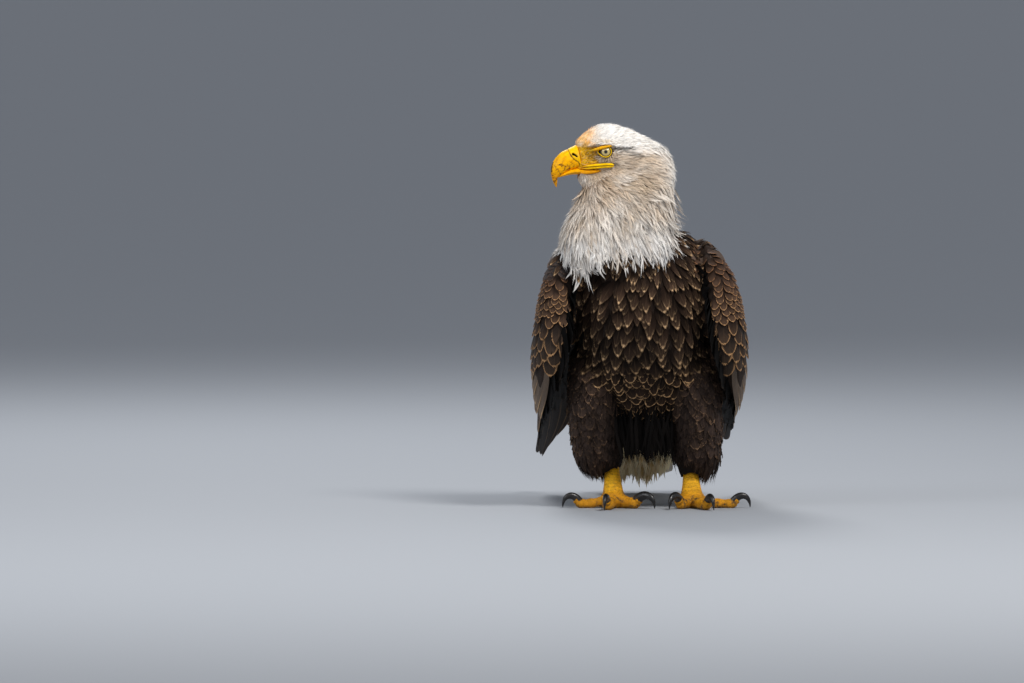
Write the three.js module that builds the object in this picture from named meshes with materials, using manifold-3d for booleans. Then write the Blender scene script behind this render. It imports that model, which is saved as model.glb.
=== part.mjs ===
// Adult bald eagle, standing on both feet, body facing -Y and head turned to its own right.
// Millimetres, +Z up, floor at Z = 0, +X is the bird's left side. The surfaces are the outer
// limits of the plumage, and each named body part is a closed solid of its own.
import * as THREE from "three";
import { mergeVertices } from "three/addons/utils/BufferGeometryUtils.js";
import Module from "manifold-3d";

// ---- driving dimensions ---------------------------------------------------------------------
const GAP = 0.75; // clearance between neighbouring parts
const FINEST = { feathered: 0.42, bare: 0.06, claw: 0.04 }; // detail smaller than this is smoothed away
const HEAD_YAW = 80; // degrees the head is turned from straight ahead, to the bird's right
const HEAD_AT = [-51, -80, 502]; // midpoint between the eyes
const EYE = { radius: 11.2, out: 20.6, forward: 1.2 };
const TRUNK_FROM = [-2, -85, 370]; // base of the neck
const TRUNK_TO = [8, 150, 148]; // root of the tail
const TAIL = {
  rootY: 118, rootZ: 176, tipY: 396, tipZ: 20.5, x: 4, tipX: -8,
  rootHalf: 27, tipHalf: 60, feathers: 12, scallop: 5, round: 24, arch: 5, roll: 3,
  rootThick: 30, tipThick: 3.2,
};
const TARSUS = { radius: 9.6, ankleY: 36, ankleZ: 92 };
const FEET = { right: { x: -37, y: 4, out: -1 }, left: { x: 73, y: 2, out: 1 } };
// Each toe: heading in degrees from straight ahead towards the outer side, length to the claw,
// radius, claw chord, claw base radius, number of pads.
const TOES = {
  right: [
    { digit: 1, heading: 190, length: 30, r: 8.6, claw: 37, cr: 5.2, pads: 2 },
    { digit: 2, heading: -56, length: 42, r: 8.6, claw: 33, cr: 5.0, pads: 2 },
    { digit: 3, heading: 9, length: 62, r: 8.2, claw: 29, cr: 4.5, pads: 3 },
    { digit: 4, heading: 84, length: 52, r: 7.0, claw: 25, cr: 3.9, pads: 3 },
  ],
  left: [
    { digit: 1, heading: 186, length: 30, r: 8.6, claw: 37, cr: 5.2, pads: 2 },
    { digit: 2, heading: -30, length: 38, r: 8.6, claw: 33, cr: 5.0, pads: 2 },
    { digit: 3, heading: 20, length: 62, r: 8.2, claw: 29, cr: 4.5, pads: 3 },
    { digit: 4, heading: 86, length: 62, r: 7.0, claw: 25, cr: 3.9, pads: 3 },
  ],
};

const COLOURS = {
  white_feather: [0xe9e4dc, 0.85], brown_feather: [0x382b24, 0.8], flight_feather: [0x2b2624, 0.7],
  bill: [0xe6a815, 0.4], claw: [0x26251f, 0.35], foot: [0xd8951c, 0.6], eye: [0xd9c88a, 0.15],
};

// ---- small tools ----------------------------------------------------------------------------
const V = (x, y, z) => new THREE.Vector3(x, y, z);
const wasm = await Module();
wasm.setup();

// Rows of [t, a, b, ...] to a function of t that runs smoothly through them.
function profile(rows) {
  const n = rows.length, m = rows[0].length - 1;
  const slope = rows.map((r, i) => {
    const p = rows[Math.max(i - 1, 0)], q = rows[Math.min(i + 1, n - 1)];
    return r.slice(1).map((_, k) => (q[k + 1] - p[k + 1]) / (q[0] - p[0]));
  });
  return (t) => {
    let i = 0;
    while (i < n - 2 && t > rows[i + 1][0]) i++;
    const [p, q] = [rows[i], rows[i + 1]], h = q[0] - p[0];
    const u = Math.min(Math.max((t - p[0]) / h, 0), 1), u2 = u * u, u3 = u2 * u;
    return Array.from({ length: m }, (_, k) =>
      (2 * u3 - 3 * u2 + 1) * p[k + 1] + (u3 - 2 * u2 + u) * h * slope[i][k] +
      (3 * u2 - 2 * u3) * q[k + 1] + (u3 - u2) * h * slope[i + 1][k]);
  };
}

// A closed solid through a list of rings, each a list of the same number of points.
function skinOver(rings) {
  const n = rings[0].length, at = [], faces = [];
  for (const ring of rings) for (const p of ring) at.push(p.x, p.y, p.z);
  for (let i = 0; i + 1 < rings.length; i++)
    for (let j = 0; j < n; j++) {
      const a = i * n + j, b = i * n + ((j + 1) % n), c = a + n, d = b + n;
      faces.push(a, b, d, a, d, c);
    }
  for (const [i, flip] of [[0, true], [rings.length - 1, false]]) {
    const mid = rings[i].reduce((s, p) => s.add(p), V(0, 0, 0)).divideScalar(n);
    const k = at.length / 3;
    at.push(mid.x, mid.y, mid.z);
    for (let j = 0; j < n; j++) {
      const a = i * n + j, b = i * n + ((j + 1) % n);
      faces.push(...(flip ? [b, a, k] : [a, b, k]));
    }
  }
  const g = new THREE.BufferGeometry();
  g.setAttribute("position", new THREE.Float32BufferAttribute(at, 3));
  g.setIndex(faces);
  return g;
}

// A closed plate with two faces, point(u, v, face) for u and v from 0 to 1 and face 1 or -1.
function plate(nu, nv, point) {
  const at = [], faces = [], id = (i, j, f) => (f * (nv + 1) + j) * (nu + 1) + i;
  for (const face of [1, -1]) for (const v of steps(nv)) for (const u of steps(nu)) {
    const p = point(u, v, face);
    at.push(p.x, p.y, p.z);
  }
  const quad = (a, b, c, d) => faces.push(a, b, c, a, c, d);
  for (let j = 0; j < nv; j++) for (let i = 0; i < nu; i++) {
    quad(id(i, j, 0), id(i + 1, j, 0), id(i + 1, j + 1, 0), id(i, j + 1, 0));
    quad(id(i, j, 1), id(i, j + 1, 1), id(i + 1, j + 1, 1), id(i + 1, j, 1));
  }
  for (let i = 0; i < nu; i++) {
    quad(id(i, 0, 0), id(i, 0, 1), id(i + 1, 0, 1), id(i + 1, 0, 0));
    quad(id(i, nv, 0), id(i + 1, nv, 0), id(i + 1, nv, 1), id(i, nv, 1));
  }
  for (let j = 0; j < nv; j++) {
    quad(id(0, j, 0), id(0, j + 1, 0), id(0, j + 1, 1), id(0, j, 1));
    quad(id(nu, j, 0), id(nu, j, 1), id(nu, j + 1, 1), id(nu, j + 1, 0));
  }
  const g = new THREE.BufferGeometry();
  g.setAttribute("position", new THREE.Float32BufferAttribute(at, 3));
  g.setIndex(faces);
  return g;
}

// A three.js geometry to a solid that can be cut and joined, turned outwards if need be.
function solid(geometry) {
  const g = geometry.clone();
  for (const name of Object.keys(g.attributes)) if (name !== "position") g.deleteAttribute(name);
  const merged = mergeVertices(g, 1e-4);
  const make = (tri) => new wasm.Manifold(new wasm.Mesh({
    numProp: 3, vertProperties: new Float32Array(merged.attributes.position.array), triVerts: tri }));
  const tri = new Uint32Array(merged.index.array);
  const made = make(tri);
  if (made.volume() > 0) return made;
  for (let i = 0; i < tri.length; i += 3) [tri[i + 1], tri[i + 2]] = [tri[i + 2], tri[i + 1]];
  return make(tri);
}

const largest = (s) => s.decompose().sort((a, b) => b.volume() - a.volume())[0];
const steps = (n) => Array.from({ length: n + 1 }, (_, i) => i / n);
const turnOf = (n, f) => Array.from({ length: n }, (_, j) => f((2 * Math.PI * j) / n));
const pow = (x, e) => Math.sign(x) * Math.abs(x) ** e;

// A tapering round limb along a curve, r(t) its radius, flat a squash of its height.
function limb(curve, r, rings, sides, grow = 0, flat = 1) {
  const up0 = V(0, 0, 1);
  return solid(skinOver(steps(rings).map((t) => {
    const p = curve.getPoint(t), d = curve.getTangent(t);
    const side = new THREE.Vector3().crossVectors(d, up0);
    if (side.length() < 0.05) side.set(1, 0, 0);
    side.normalize();
    const up = new THREE.Vector3().crossVectors(side, d).normalize();
    const rr = r(t) + grow;
    return turnOf(sides, (q) => p.clone().addScaledVector(side, rr * Math.cos(q))
      .addScaledVector(up, rr * flat * Math.sin(q)));
  })));
}

// ---- head -----------------------------------------------------------------------------------
const yaw = THREE.MathUtils.degToRad(HEAD_YAW);
const FWD = V(-Math.sin(yaw), -Math.cos(yaw), 0);
const LEFT = new THREE.Vector3().crossVectors(V(0, 0, 1), FWD);
// A point in the head's own directions: forward, to its left, up.
const inHead = (a, b, c) => V(...HEAD_AT).addScaledVector(FWD, a).addScaledVector(LEFT, b).addScaledVector(V(0, 0, 1), c);

// distance back from the bill: top, underside, half width
const HEAD_SHAPE = profile([
  [0, 3, -20, 9], [5, 11, -34, 12.5], [11, 19.5, -48, 14], [18, 27, -56, 16.8], [33, 38.5, -61, 22.5], [47, 42.5, -63, 27.5],
  [60, 42.5, -65, 33], [78, 37.5, -68, 38.5], [100, 27, -70, 42], [122, 13, -71, 39], [137, -3, -66, 29], [144, -20, -56, 12],
]);
const head = (grow) => {
  const body = solid(skinOver(steps(15).map((t) => {
    const a = 45 - 144 * t, [top, bottom, w] = HEAD_SHAPE(144 * t);
    const mid = (top + bottom) / 2, half = (top - bottom) / 2 + grow;
    const end = t === 0 ? grow : t === 1 ? -grow : 0;
    return turnOf(18, (q) => inHead(a + end, (w + grow) * pow(Math.cos(q), 0.92), mid + half * pow(Math.sin(q), 0.92)));
  })));
  const brows = [1, -1].map((s) => {
    const line = new THREE.CatmullRomCurve3([[31, 16, 7.5], [17, 23.5, 10.5], [2, 28, 12], [-13, 31.5, 9.5], [-26, 33, 5]]
      .map(([a, b, c]) => inHead(a, s * b, c)));
    return limb(line, (t) => 1.2 + 3.6 * Math.sin(Math.PI * Math.min(t * 1.05, 1)) ** 0.8, 6, 6, grow);
  });
  return brows.reduce((a, b) => a.add(b), body);
};

const eye = (s) => (grow) => {
  const g = new THREE.SphereGeometry(EYE.radius + grow, 12, 8);
  const p = inHead(EYE.forward, s * EYE.out, 0);
  return solid(g.translate(p.x, p.y, p.z));
};

// The bill: rows of ridge line and cutting edge, each forward and up, with the half width.
function billPart(rows, n, sides, sharp) {
  const at = profile(rows);
  const last = rows[rows.length - 1][0];
  return (grow) => solid(skinOver(steps(n).map((t) => {
    const [ra, rc, ea, ec, w] = at(t * last);
    const mid = [(ra + ea) / 2, (rc + ec) / 2], half = [(ra - ea) / 2, (rc - ec) / 2];
    const len = Math.hypot(...half), k = (len + grow) / len;
    return turnOf(sides, (q) => {
      const up = Math.sin(q), side = pow(Math.cos(q), sharp) * (1 - 0.22 * Math.max(up, 0));
      return inHead(mid[0] + half[0] * up * k, (w + grow) * side, mid[1] + half[1] * up * k);
    });
  })));
}
const upperBill = billPart([
  [0, 40, 8.6, 34, -23, 13.6], [1, 49.7, 4, 45, -25.4, 12.8], [2, 60.8, -1.3, 53.5, -28.6, 11],
  [3, 67.8, -8.1, 59.5, -32, 9], [4, 72.9, -15.8, 63.8, -34.8, 7], [5, 75.1, -24.4, 65.8, -37, 5.2],
  [6, 74.6, -34.4, 66.3, -40, 3.6], [7, 71.4, -43.6, 66.5, -45.6, 1.9], [8, 68.2, -49.6, 67.4, -49.9, 0.5],
], 12, 10, 0.9);
const lowerBill = billPart([
  [0, 2, -19, 0, -31, 21], [1, 20, -21.8, 19, -31.8, 16.6], [2, 36, -23.6, 35, -32.2, 12.4],
  [3, 50, -26, 48.5, -32.8, 9.2], [4, 58.5, -29.8, 57, -34.6, 6.4], [5, 65, -33.8, 64, -36.4, 2.2],
], 7, 10, 0.9);
const gape = (s) => (grow) => limb(new THREE.CatmullRomCurve3(
  [[38, 13.4, -22.8], [24, 17.6, -22], [10, 23.3, -20.8], [-3, 28.6, -19.4], [-11, 31.6, -18.2]]
    .map(([a, b, c]) => inHead(a, s * b, c))), (t) => 3.3 - 1.9 * t ** 2, 7, 8, grow);

// ---- neck: height up the neck axis, centre, half width, half depth, tilt of the slice --------
const NECK_SHAPE = profile([
  [0, -36, -98, 346, 46, 48, 18],
  [0.06, -34, -95, 353, 68, 73, 18],
  [0.18, -31, -88, 367, 80, 84, 17],
  [0.34, -28, -82, 384, 82, 80, 14],
  [0.5, -25, -77, 401, 79, 72, 11],
  [0.64, -21, -74, 418, 75, 64, 8],
  [0.78, -16, -74, 436, 70, 56, 4],
  [0.9, -17, -76, 454, 64, 47, 2],
  [1, -16, -79, 472, 44, 34, 0],
]);
const neck = (grow) => solid(skinOver(steps(11).map((t) => {
  const [x, y, z, w, d, tilt] = NECK_SHAPE(t), a = THREE.MathUtils.degToRad(tilt);
  const end = t === 0 ? -grow : t === 1 ? grow : 0;
  return turnOf(22, (q) => {
    const s = Math.sin(q), r = 1 + 0.02 * Math.sin(9 * q + 3 * t);
    const c = pow(Math.cos(q), 0.86), u = pow(s, 0.86);
    return V(x + (w + grow) * r * c, y + (d + grow) * r * u * Math.cos(a), z + end + (d + grow) * u * Math.sin(a));
  });
})));

// ---- trunk: share of the way from neck to tail, half width, depth below, depth above ----------
const from = V(...TRUNK_FROM), to = V(...TRUNK_TO), along = to.clone().sub(from);
const aft = along.clone().setX(0).normalize();
const belly = new THREE.Vector3().crossVectors(V(1, 0, 0), aft).multiplyScalar(-1);
if (belly.z > 0) belly.negate();
const TRUNK_SHAPE = profile([
  [-0.14, 30, 26, 30], [-0.04, 62, 58, 50], [0.06, 84, 94, 64], [0.18, 97, 126, 72],
  [0.34, 103, 145, 77], [0.5, 103, 145, 75], [0.66, 95, 142, 67], [0.8, 79, 142, 56],
  [0.92, 58, 126, 45], [1.03, 36, 82, 32], [1.08, 16, 40, 18],
]);
const trunk = (grow) => solid(skinOver(steps(13).map((t) => {
  const k = -0.14 + 1.22 * t, [w, under, over] = TRUNK_SHAPE(k);
  const c = from.clone().addScaledVector(along, k);
  return turnOf(22, (q) => {
    const s = Math.sin(q), r = s > 0 ? under : over;
    return c.clone().addScaledVector(V(1, 0, 0), (w + grow) * pow(Math.cos(q), 0.94)).addScaledVector(belly, (r + grow) * pow(s, 0.97));
  });
})));

// ---- folded wing: share from wrist to tip, top edge, bottom edge, half thickness, bow --------
const WING_SHAPE = profile([
  [0, 110, -121, 330, 110, -121, 306, 7, 0],
  [0.04, 102, -104, 358, 114, -115, 250, 22, 4],
  [0.12, 86, -60, 376, 124, -92, 200, 28, 11],
  [0.25, 68, 6, 364, 134, -34, 152, 25, 21],
  [0.4, 52, 80, 318, 141, 50, 126, 17, 26],
  [0.55, 43, 150, 258, 144, 130, 104, 10.5, 22],
  [0.7, 53, 222, 190, 145, 212, 85, 6.6, 14],
  [0.85, 86, 298, 120, 144, 293, 64, 3.8, 7],
  [1, 132, 370, 56, 138, 374, 48, 1.4, 0],
]);
// The two wings hang a little differently: dx and dz move the tip, wide and up the shoulder.
const HANG = { right: { s: -1, dx: 0, dz: 0, wide: 6, up: 8 }, left: { s: 1, dx: -21, dz: 22, wide: 0, up: 0 } };
const wingRing = (side, t, sides, grow) => {
  const h = HANG[side], [tx, ty, tz, bx, by, bz, thick, bow] = WING_SHAPE(t);
  const far = Math.max(t - 0.25, 0) / 0.75, near = Math.max(0.3 - t, 0) / 0.3;
  const T = V(tx + h.dx * far + h.wide * near, ty, tz + h.dz * far + h.up * near), B = V(bx + h.dx * far, by, bz + h.dz * far);
  const mid = T.clone().add(B).multiplyScalar(0.5), half = T.clone().sub(B).multiplyScalar(0.5);
  const len = half.length(), n0 = WING_SHAPE(Math.max(t - 0.02, 0)), n1 = WING_SHAPE(Math.min(t + 0.02, 1));
  const run = V((n1[0] + n1[3] - n0[0] - n0[3]) / 2, (n1[1] + n1[4] - n0[1] - n0[4]) / 2, (n1[2] + n1[5] - n0[2] - n0[5]) / 2);
  const out = new THREE.Vector3().crossVectors(run, half).normalize();
  if (out.x < 0) out.negate();
  return turnOf(sides, (q) => {
    const v = Math.sin(q), c = pow(Math.cos(q), 0.85);
    const p = mid.clone().addScaledVector(half, v * (1 + grow / len))
      .addScaledVector(out, (thick + grow) * c + bow * (1 - v * v));
    return V(p.x * h.s, p.y, p.z);
  });
};
const wing = (side, t0, t1, rings, sides) => (grow) =>
  solid(skinOver(steps(rings).map((u) => wingRing(side, t0 + (t1 - t0) * u, sides, grow))));

// ---- tail: a fan of feathers, one plate with rounded feather ends ---------------------------
const tail = (grow) => {
  const across = 24, down = 5, T = TAIL;
  const point = (u, v, face) => {
    const x0 = T.x + (T.tipX - T.x) * v, half = T.rootHalf + (T.tipHalf - T.rootHalf) * v ** 0.8;
    const end = 1 - (T.round * u * u + T.scallop * (1 - Math.abs(Math.cos((u * 0.5 + 0.5) * Math.PI * T.feathers)) ** 0.7)) / (T.tipY - T.rootY);
    const w = v * end, y = T.rootY + (T.tipY - T.rootY) * w, z = T.rootZ + (T.tipZ - T.rootZ) * w ** 0.92;
    const thick = (T.tipThick + (T.rootThick - T.tipThick) * (1 - v) ** 1.6) * Math.sqrt(Math.max(1 - 0.92 * u * u, 0.05)) / 2 + grow;
    const drop = face < 0 ? thick * (1 + 1.1 * Math.sin(Math.PI * Math.min(v * 1.5, 1)) * (1 - v)) : thick;
    return V(x0 + (half + grow) * u, y + (v === 1 ? grow : v === 0 ? -grow : 0), z - T.arch * u * u * (0.5 + 0.5 * v) + T.roll * u * v + face * drop);
  };
  return solid(plate(across, down, (u, v, face) => point(2 * u - 1, v, face)));
};

// ---- legs -------------------------------------------------------------------------------------
// Feathered thigh: share from top to bottom, centre, half width, half depth
const THIGH_SHAPE = {
  right: profile([[0, -56, -6, 258, 26, 40], [0.14, -60, -8, 232, 37, 58], [0.36, -63, -10, 184, 41, 64], [0.56, -63, -6, 138, 41, 58],
    [0.74, -61, 4, 100, 40, 48], [0.86, -59, 12, 74, 38.5, 40], [0.94, -57, 16, 56, 34, 31], [1, -54, 18, 42, 20, 17]]),
  left: profile([[0, 60, -6, 258, 26, 40], [0.14, 67, -8, 232, 38, 58], [0.36, 74, -10, 184, 41, 64], [0.56, 78, -6, 138, 40, 58],
    [0.74, 79, 4, 100, 39.5, 48], [0.86, 79, 12, 74, 39, 40], [0.94, 79, 16, 54, 36, 31], [1, 80, 18, 38, 22, 17]]),
};
const thigh = (side) => (grow) => solid(skinOver(steps(10).map((t) => {
  const [x, y, z, w, d] = THIGH_SHAPE[side](t), end = t === 0 ? grow : t === 1 ? -grow : 0;
  return turnOf(14, (q) => V(x + (w + grow) * Math.cos(q), y + (d + grow) * Math.sin(q), z + end));
})));

const heading = (foot, deg) => {
  const a = THREE.MathUtils.degToRad(deg);
  return V(FEET[foot].out * Math.sin(a), -Math.cos(a), 0);
};
// Shank and the pad where the toes meet; the pad's underside is flat on the floor.
const FLOOR = solid(new THREE.BoxGeometry(1200, 1200, 100).translate(0, 0, -50));
const foot = (side) => (grow) => {
  const { x, y } = FEET[side];
  const line = new THREE.CatmullRomCurve3([V(x - 1, y + TARSUS.ankleY, TARSUS.ankleZ), V(x - 2, y + 20, 60), V(x - 1, y + 7, 34), V(x, y, 12)]);
  const shank = limb(line, (t) => TARSUS.radius * (1 + 0.22 * (1 - t) ** 3 + 0.55 * t ** 4), 6, 10, grow);
  const pad = solid(new THREE.SphereGeometry(1, 14, 7).rotateX(Math.PI / 2).scale(20 + grow, 21 + grow, 14 + grow).translate(x, y - 2, 11.5));
  const made = shank.add(pad);
  return grow ? made : made.subtract(FLOOR);
};
const toe = (side, k) => (grow) => {
  const { x, y } = FEET[side], T = TOES[side][k], d = heading(side, T.heading);
  const start = V(x, y - 2, 0).addScaledVector(d, 13), end = V(x, y - 2, 0).addScaledVector(d, T.length);
  start.z = 10.5;
  end.z = T.r * 0.9;
  const mid = start.clone().lerp(end, 0.5);
  mid.z = T.r * 0.92;
  const r = (t) => T.r * (1.06 - 0.12 * t - 0.07 * Math.cos(2 * Math.PI * T.pads * t)) * (t > 0.9 ? Math.sqrt(Math.max(1 - ((t - 0.9) / 0.14) ** 2, 0.2)) : 1);
  const made = limb(new THREE.CatmullRomCurve3([start, mid, end]), r, 3 * T.pads, 7, grow);
  return grow ? made : made.subtract(FLOOR);
};
const claw = (side, k) => (grow) => {
  const { x, y } = FEET[side], T = TOES[side][k], d = heading(side, T.heading);
  const base = V(x, y - 2, 0).addScaledVector(d, T.length - 4), L = T.claw;
  const at = (f, z) => base.clone().addScaledVector(d, f * L).setZ(z);
  const line = new THREE.CubicBezierCurve3(at(0, T.r + 1.5), at(0.38, T.r + 15), at(0.92, T.r + 12), at(0.94, 1.1));
  return limb(line, (t) => 0.7 + (T.cr - 0.7) * (1 - t) ** 0.75, 7, 7, grow);
};

// ---- the parts, in the order in which they keep their shape: a later one is cut by its neighbours
const PARTS = [
  ["eye_left", eye(1), "eye"], ["eye_right", eye(-1), "eye"],
  ["bill_upper", upperBill, "bill"], ["bill_lower", lowerBill, "bill"],
  ["gape_left", gape(1), "bill"], ["gape_right", gape(-1), "bill"],
  ["head", head, "white_feather"], ["neck", neck, "white_feather"], ["tail", tail, "white_feather"],
];
for (const side of ["left", "right"]) {
  PARTS.push(["wing_" + side, wing(side, 0, 0.56, 12, 16), "brown_feather"]);
  PARTS.push(["primaries_" + side, wing(side, 0.562, 1, 7, 14), "flight_feather"]);
  TOES[side].forEach((T, k) => PARTS.push(["claw_" + side + "_" + T.digit, claw(side, k), "claw"]));
  PARTS.push(["foot_" + side, foot(side), "foot"]);
  TOES[side].forEach((T, k) => PARTS.push(["toe_" + side + "_" + T.digit, toe(side, k), "foot"]));
  PARTS.push(["thigh_" + side, thigh(side), "brown_feather"]);
}
PARTS.push(["trunk", trunk, "brown_feather"]);

const eagle = new THREE.Group();
const grown = [];
for (const [name, make, slot] of PARTS) {
  let body = make(0);
  const box = body.boundingBox();
  for (const g of grown)
    if ([0, 1, 2].every((i) => g.box.min[i] < box.max[i] && g.box.max[i] > box.min[i])) body = body.subtract(g.body);
  body = largest(largest(body).simplify(slot.endsWith("feather") ? FINEST.feathered : FINEST[slot] ?? FINEST.bare));
  const fat = make(GAP);
  grown.push({ body: fat, box: fat.boundingBox() });
  const m = body.getMesh(), geometry = new THREE.BufferGeometry();
  geometry.setAttribute("position", new THREE.BufferAttribute(new Float32Array(m.vertProperties), 3));
  geometry.setIndex(new THREE.BufferAttribute(new Uint32Array(m.triVerts), 1));
  geometry.computeVertexNormals();
  const mesh = new THREE.Mesh(geometry, new THREE.MeshStandardMaterial({ color: COLOURS[slot][0], roughness: COLOURS[slot][1], metalness: 0 }));
  mesh.name = name;
  eagle.add(mesh);
}

// The origin is on the floor, under the middle of the whole bird.
const all = new THREE.Box3().setFromObject(eagle), centre = all.getCenter(V(0, 0, 0));
eagle.position.set(-centre.x, -centre.y, -all.min.z);

export default eagle;
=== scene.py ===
"""Adult bald eagle, life size, standing with its head turned to its right: the visual model.

Everything is measured in millimetres in the construction's own directions (+Z up, -Y the way the
body faces, +X the bird's left) and turned into metres when a mesh is made.
"""
import math

import bmesh
import bpy
import numpy as np
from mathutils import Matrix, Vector
from mathutils.bvhtree import BVHTree


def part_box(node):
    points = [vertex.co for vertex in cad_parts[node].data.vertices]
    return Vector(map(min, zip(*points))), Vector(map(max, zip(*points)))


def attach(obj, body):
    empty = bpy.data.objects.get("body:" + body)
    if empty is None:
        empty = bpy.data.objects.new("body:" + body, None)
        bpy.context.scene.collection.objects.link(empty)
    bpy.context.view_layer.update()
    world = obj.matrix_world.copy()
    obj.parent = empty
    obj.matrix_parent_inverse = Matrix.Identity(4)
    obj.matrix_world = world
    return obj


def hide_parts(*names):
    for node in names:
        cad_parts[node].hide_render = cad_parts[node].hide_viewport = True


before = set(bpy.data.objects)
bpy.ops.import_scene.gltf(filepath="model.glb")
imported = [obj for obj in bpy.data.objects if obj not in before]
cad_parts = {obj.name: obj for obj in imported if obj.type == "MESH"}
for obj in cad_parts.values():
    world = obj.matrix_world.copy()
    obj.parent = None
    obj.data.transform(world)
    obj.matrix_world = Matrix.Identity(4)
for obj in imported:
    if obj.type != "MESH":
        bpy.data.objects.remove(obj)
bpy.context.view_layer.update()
RNG = np.random.RandomState(2838)

# ---- the shared frame ----------------------------------------------------------------------------
HEAD_AT = np.array([-51.0, -80.0, 502.0])  # midpoint between the eyes, in the construction
EYE_R, EYE_FORWARD = 11.2, 1.2


def mid_of(node):
    lo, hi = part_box(node)
    return (np.array(lo) + np.array(hi)) * 500.0


EYES = {1: mid_of("eye_left"), -1: mid_of("eye_right")}
UP = np.array([0.0, 0.0, 1.0])
LEFT = EYES[1] - EYES[-1]
LEFT /= np.linalg.norm(LEFT)
FWD = np.cross(LEFT, UP)
H0 = (EYES[1] + EYES[-1]) / 2 - FWD * EYE_FORWARD
OFF = H0 - HEAD_AT  # from construction to frame


def D(p):
    """A point of the construction, in the frame (mm)."""
    return np.asarray(p, float) + OFF


def in_head(a, b, c):
    a, b, c = np.broadcast_arrays(np.asarray(a, float), np.asarray(b, float), np.asarray(c, float))
    return H0 + a[..., None] * FWD + b[..., None] * LEFT + c[..., None] * UP


def head_coords(p):
    d = np.asarray(p) - H0
    return d @ FWD, d @ LEFT, d @ UP


# ---- small numeric tools -------------------------------------------------------------------------
def unit(v):
    return v / np.maximum(np.linalg.norm(v, axis=-1, keepdims=True), 1e-9)


def sstep(a, b, x):
    t = np.clip((np.asarray(x, float) - a) / (b - a), 0.0, 1.0)
    return t * t * (3 - 2 * t)


def mix(a, b, t):
    return a + (b - a) * t


def smooth_rows(rows):
    """Rows of [t, a, b, ...] to a function of t that runs smoothly through them."""
    r = np.array(rows, float)
    x, y = r[:, 0], r[:, 1:]
    n = len(x)
    m = np.array([(y[min(i + 1, n - 1)] - y[max(i - 1, 0)]) / (x[min(i + 1, n - 1)] - x[max(i - 1, 0)]) for i in range(n)])

    def at(t):
        t = np.asarray(t, float)
        i = np.clip(np.searchsorted(x, t, side="left") - 1, 0, n - 2)
        h = (x[i + 1] - x[i])[..., None]
        u = np.clip((t - x[i])[..., None] / h, 0, 1)
        return ((2 * u**3 - 3 * u**2 + 1) * y[i] + (u**3 - 2 * u**2 + u) * h * m[i]
                + (3 * u**2 - 2 * u**3) * y[i + 1] + (u**3 - u**2) * h * m[i + 1])

    return at


def powr(x, e):
    return np.sign(x) * np.abs(x) ** e


def srgb(r, g, b):
    c = np.array([r, g, b], float) / 255.0
    return np.where(c <= 0.04045, c / 12.92, ((c + 0.055) / 1.055) ** 2.4)


# Slow, soft variation over the body: a few crossed waves, the same for skin and coat.
_WAVES = [(np.array(v), f) for v, f in (
    ((0.61, 0.35, 0.71), 0.41), ((-0.53, 0.62, 0.58), 1.93), ((0.24, -0.81, 0.53), 3.1),
    ((0.87, 0.21, -0.44), 4.4), ((-0.32, -0.45, 0.83), 5.2))]


def drift(p, size):
    """Soft variation between about -1 and 1 with patches about size mm across."""
    s = 0
    for k, (v, f) in enumerate(_WAVES):
        s = s + np.sin((p @ v) * (2 * math.pi / size) * (0.7 + 0.17 * k) + f + 1.7 * np.sin((p @ np.roll(v, 1)) * (3.1 / size) + 2 * f))
    return s / 3.2


# ---- meshes ---------------------------------------------------------------------------------------
def mesh_from(name, co_mm, tris, smooth=True):
    me = bpy.data.meshes.new(name)
    co = np.ascontiguousarray(co_mm, dtype=np.float32) * 0.001
    tris = np.ascontiguousarray(tris, dtype=np.int32)
    me.vertices.add(len(co))
    me.vertices.foreach_set("co", co.ravel())
    me.loops.add(tris.size)
    me.loops.foreach_set("vertex_index", tris.ravel())
    me.polygons.add(len(tris))
    me.polygons.foreach_set("loop_start", np.arange(0, tris.size, 3, dtype=np.int32))
    me.polygons.foreach_set("use_smooth", np.full(len(tris), smooth))
    me.update(calc_edges=True)
    me.validate(clean_customdata=False)
    return me


def add_object(me, *materials):
    ob = bpy.data.objects.new(me.name, me)
    bpy.context.scene.collection.objects.link(ob)
    for m in materials:
        me.materials.append(m)
    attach(ob, "root")
    return ob


def put_points(me, name, values, kind):
    a = me.attributes.new(name, kind, "POINT")
    key = {"FLOAT": "value", "FLOAT_VECTOR": "vector", "FLOAT_COLOR": "color"}[kind]
    a.data.foreach_set(key, np.ascontiguousarray(values, dtype=np.float32).ravel())


def put_colour(me, name, rgb, alpha=None):
    c = np.ones((len(rgb), 4), np.float32)
    c[:, :3] = rgb
    if alpha is not None:
        c[:, 3] = alpha
    put_points(me, name, c, "FLOAT_COLOR")


def put_uv(me, name, uv_per_vertex, tris):
    layer = me.uv_layers.new(name=name)
    layer.data.foreach_set("uv", np.ascontiguousarray(uv_per_vertex[tris.ravel()], dtype=np.float32).ravel())


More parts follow.
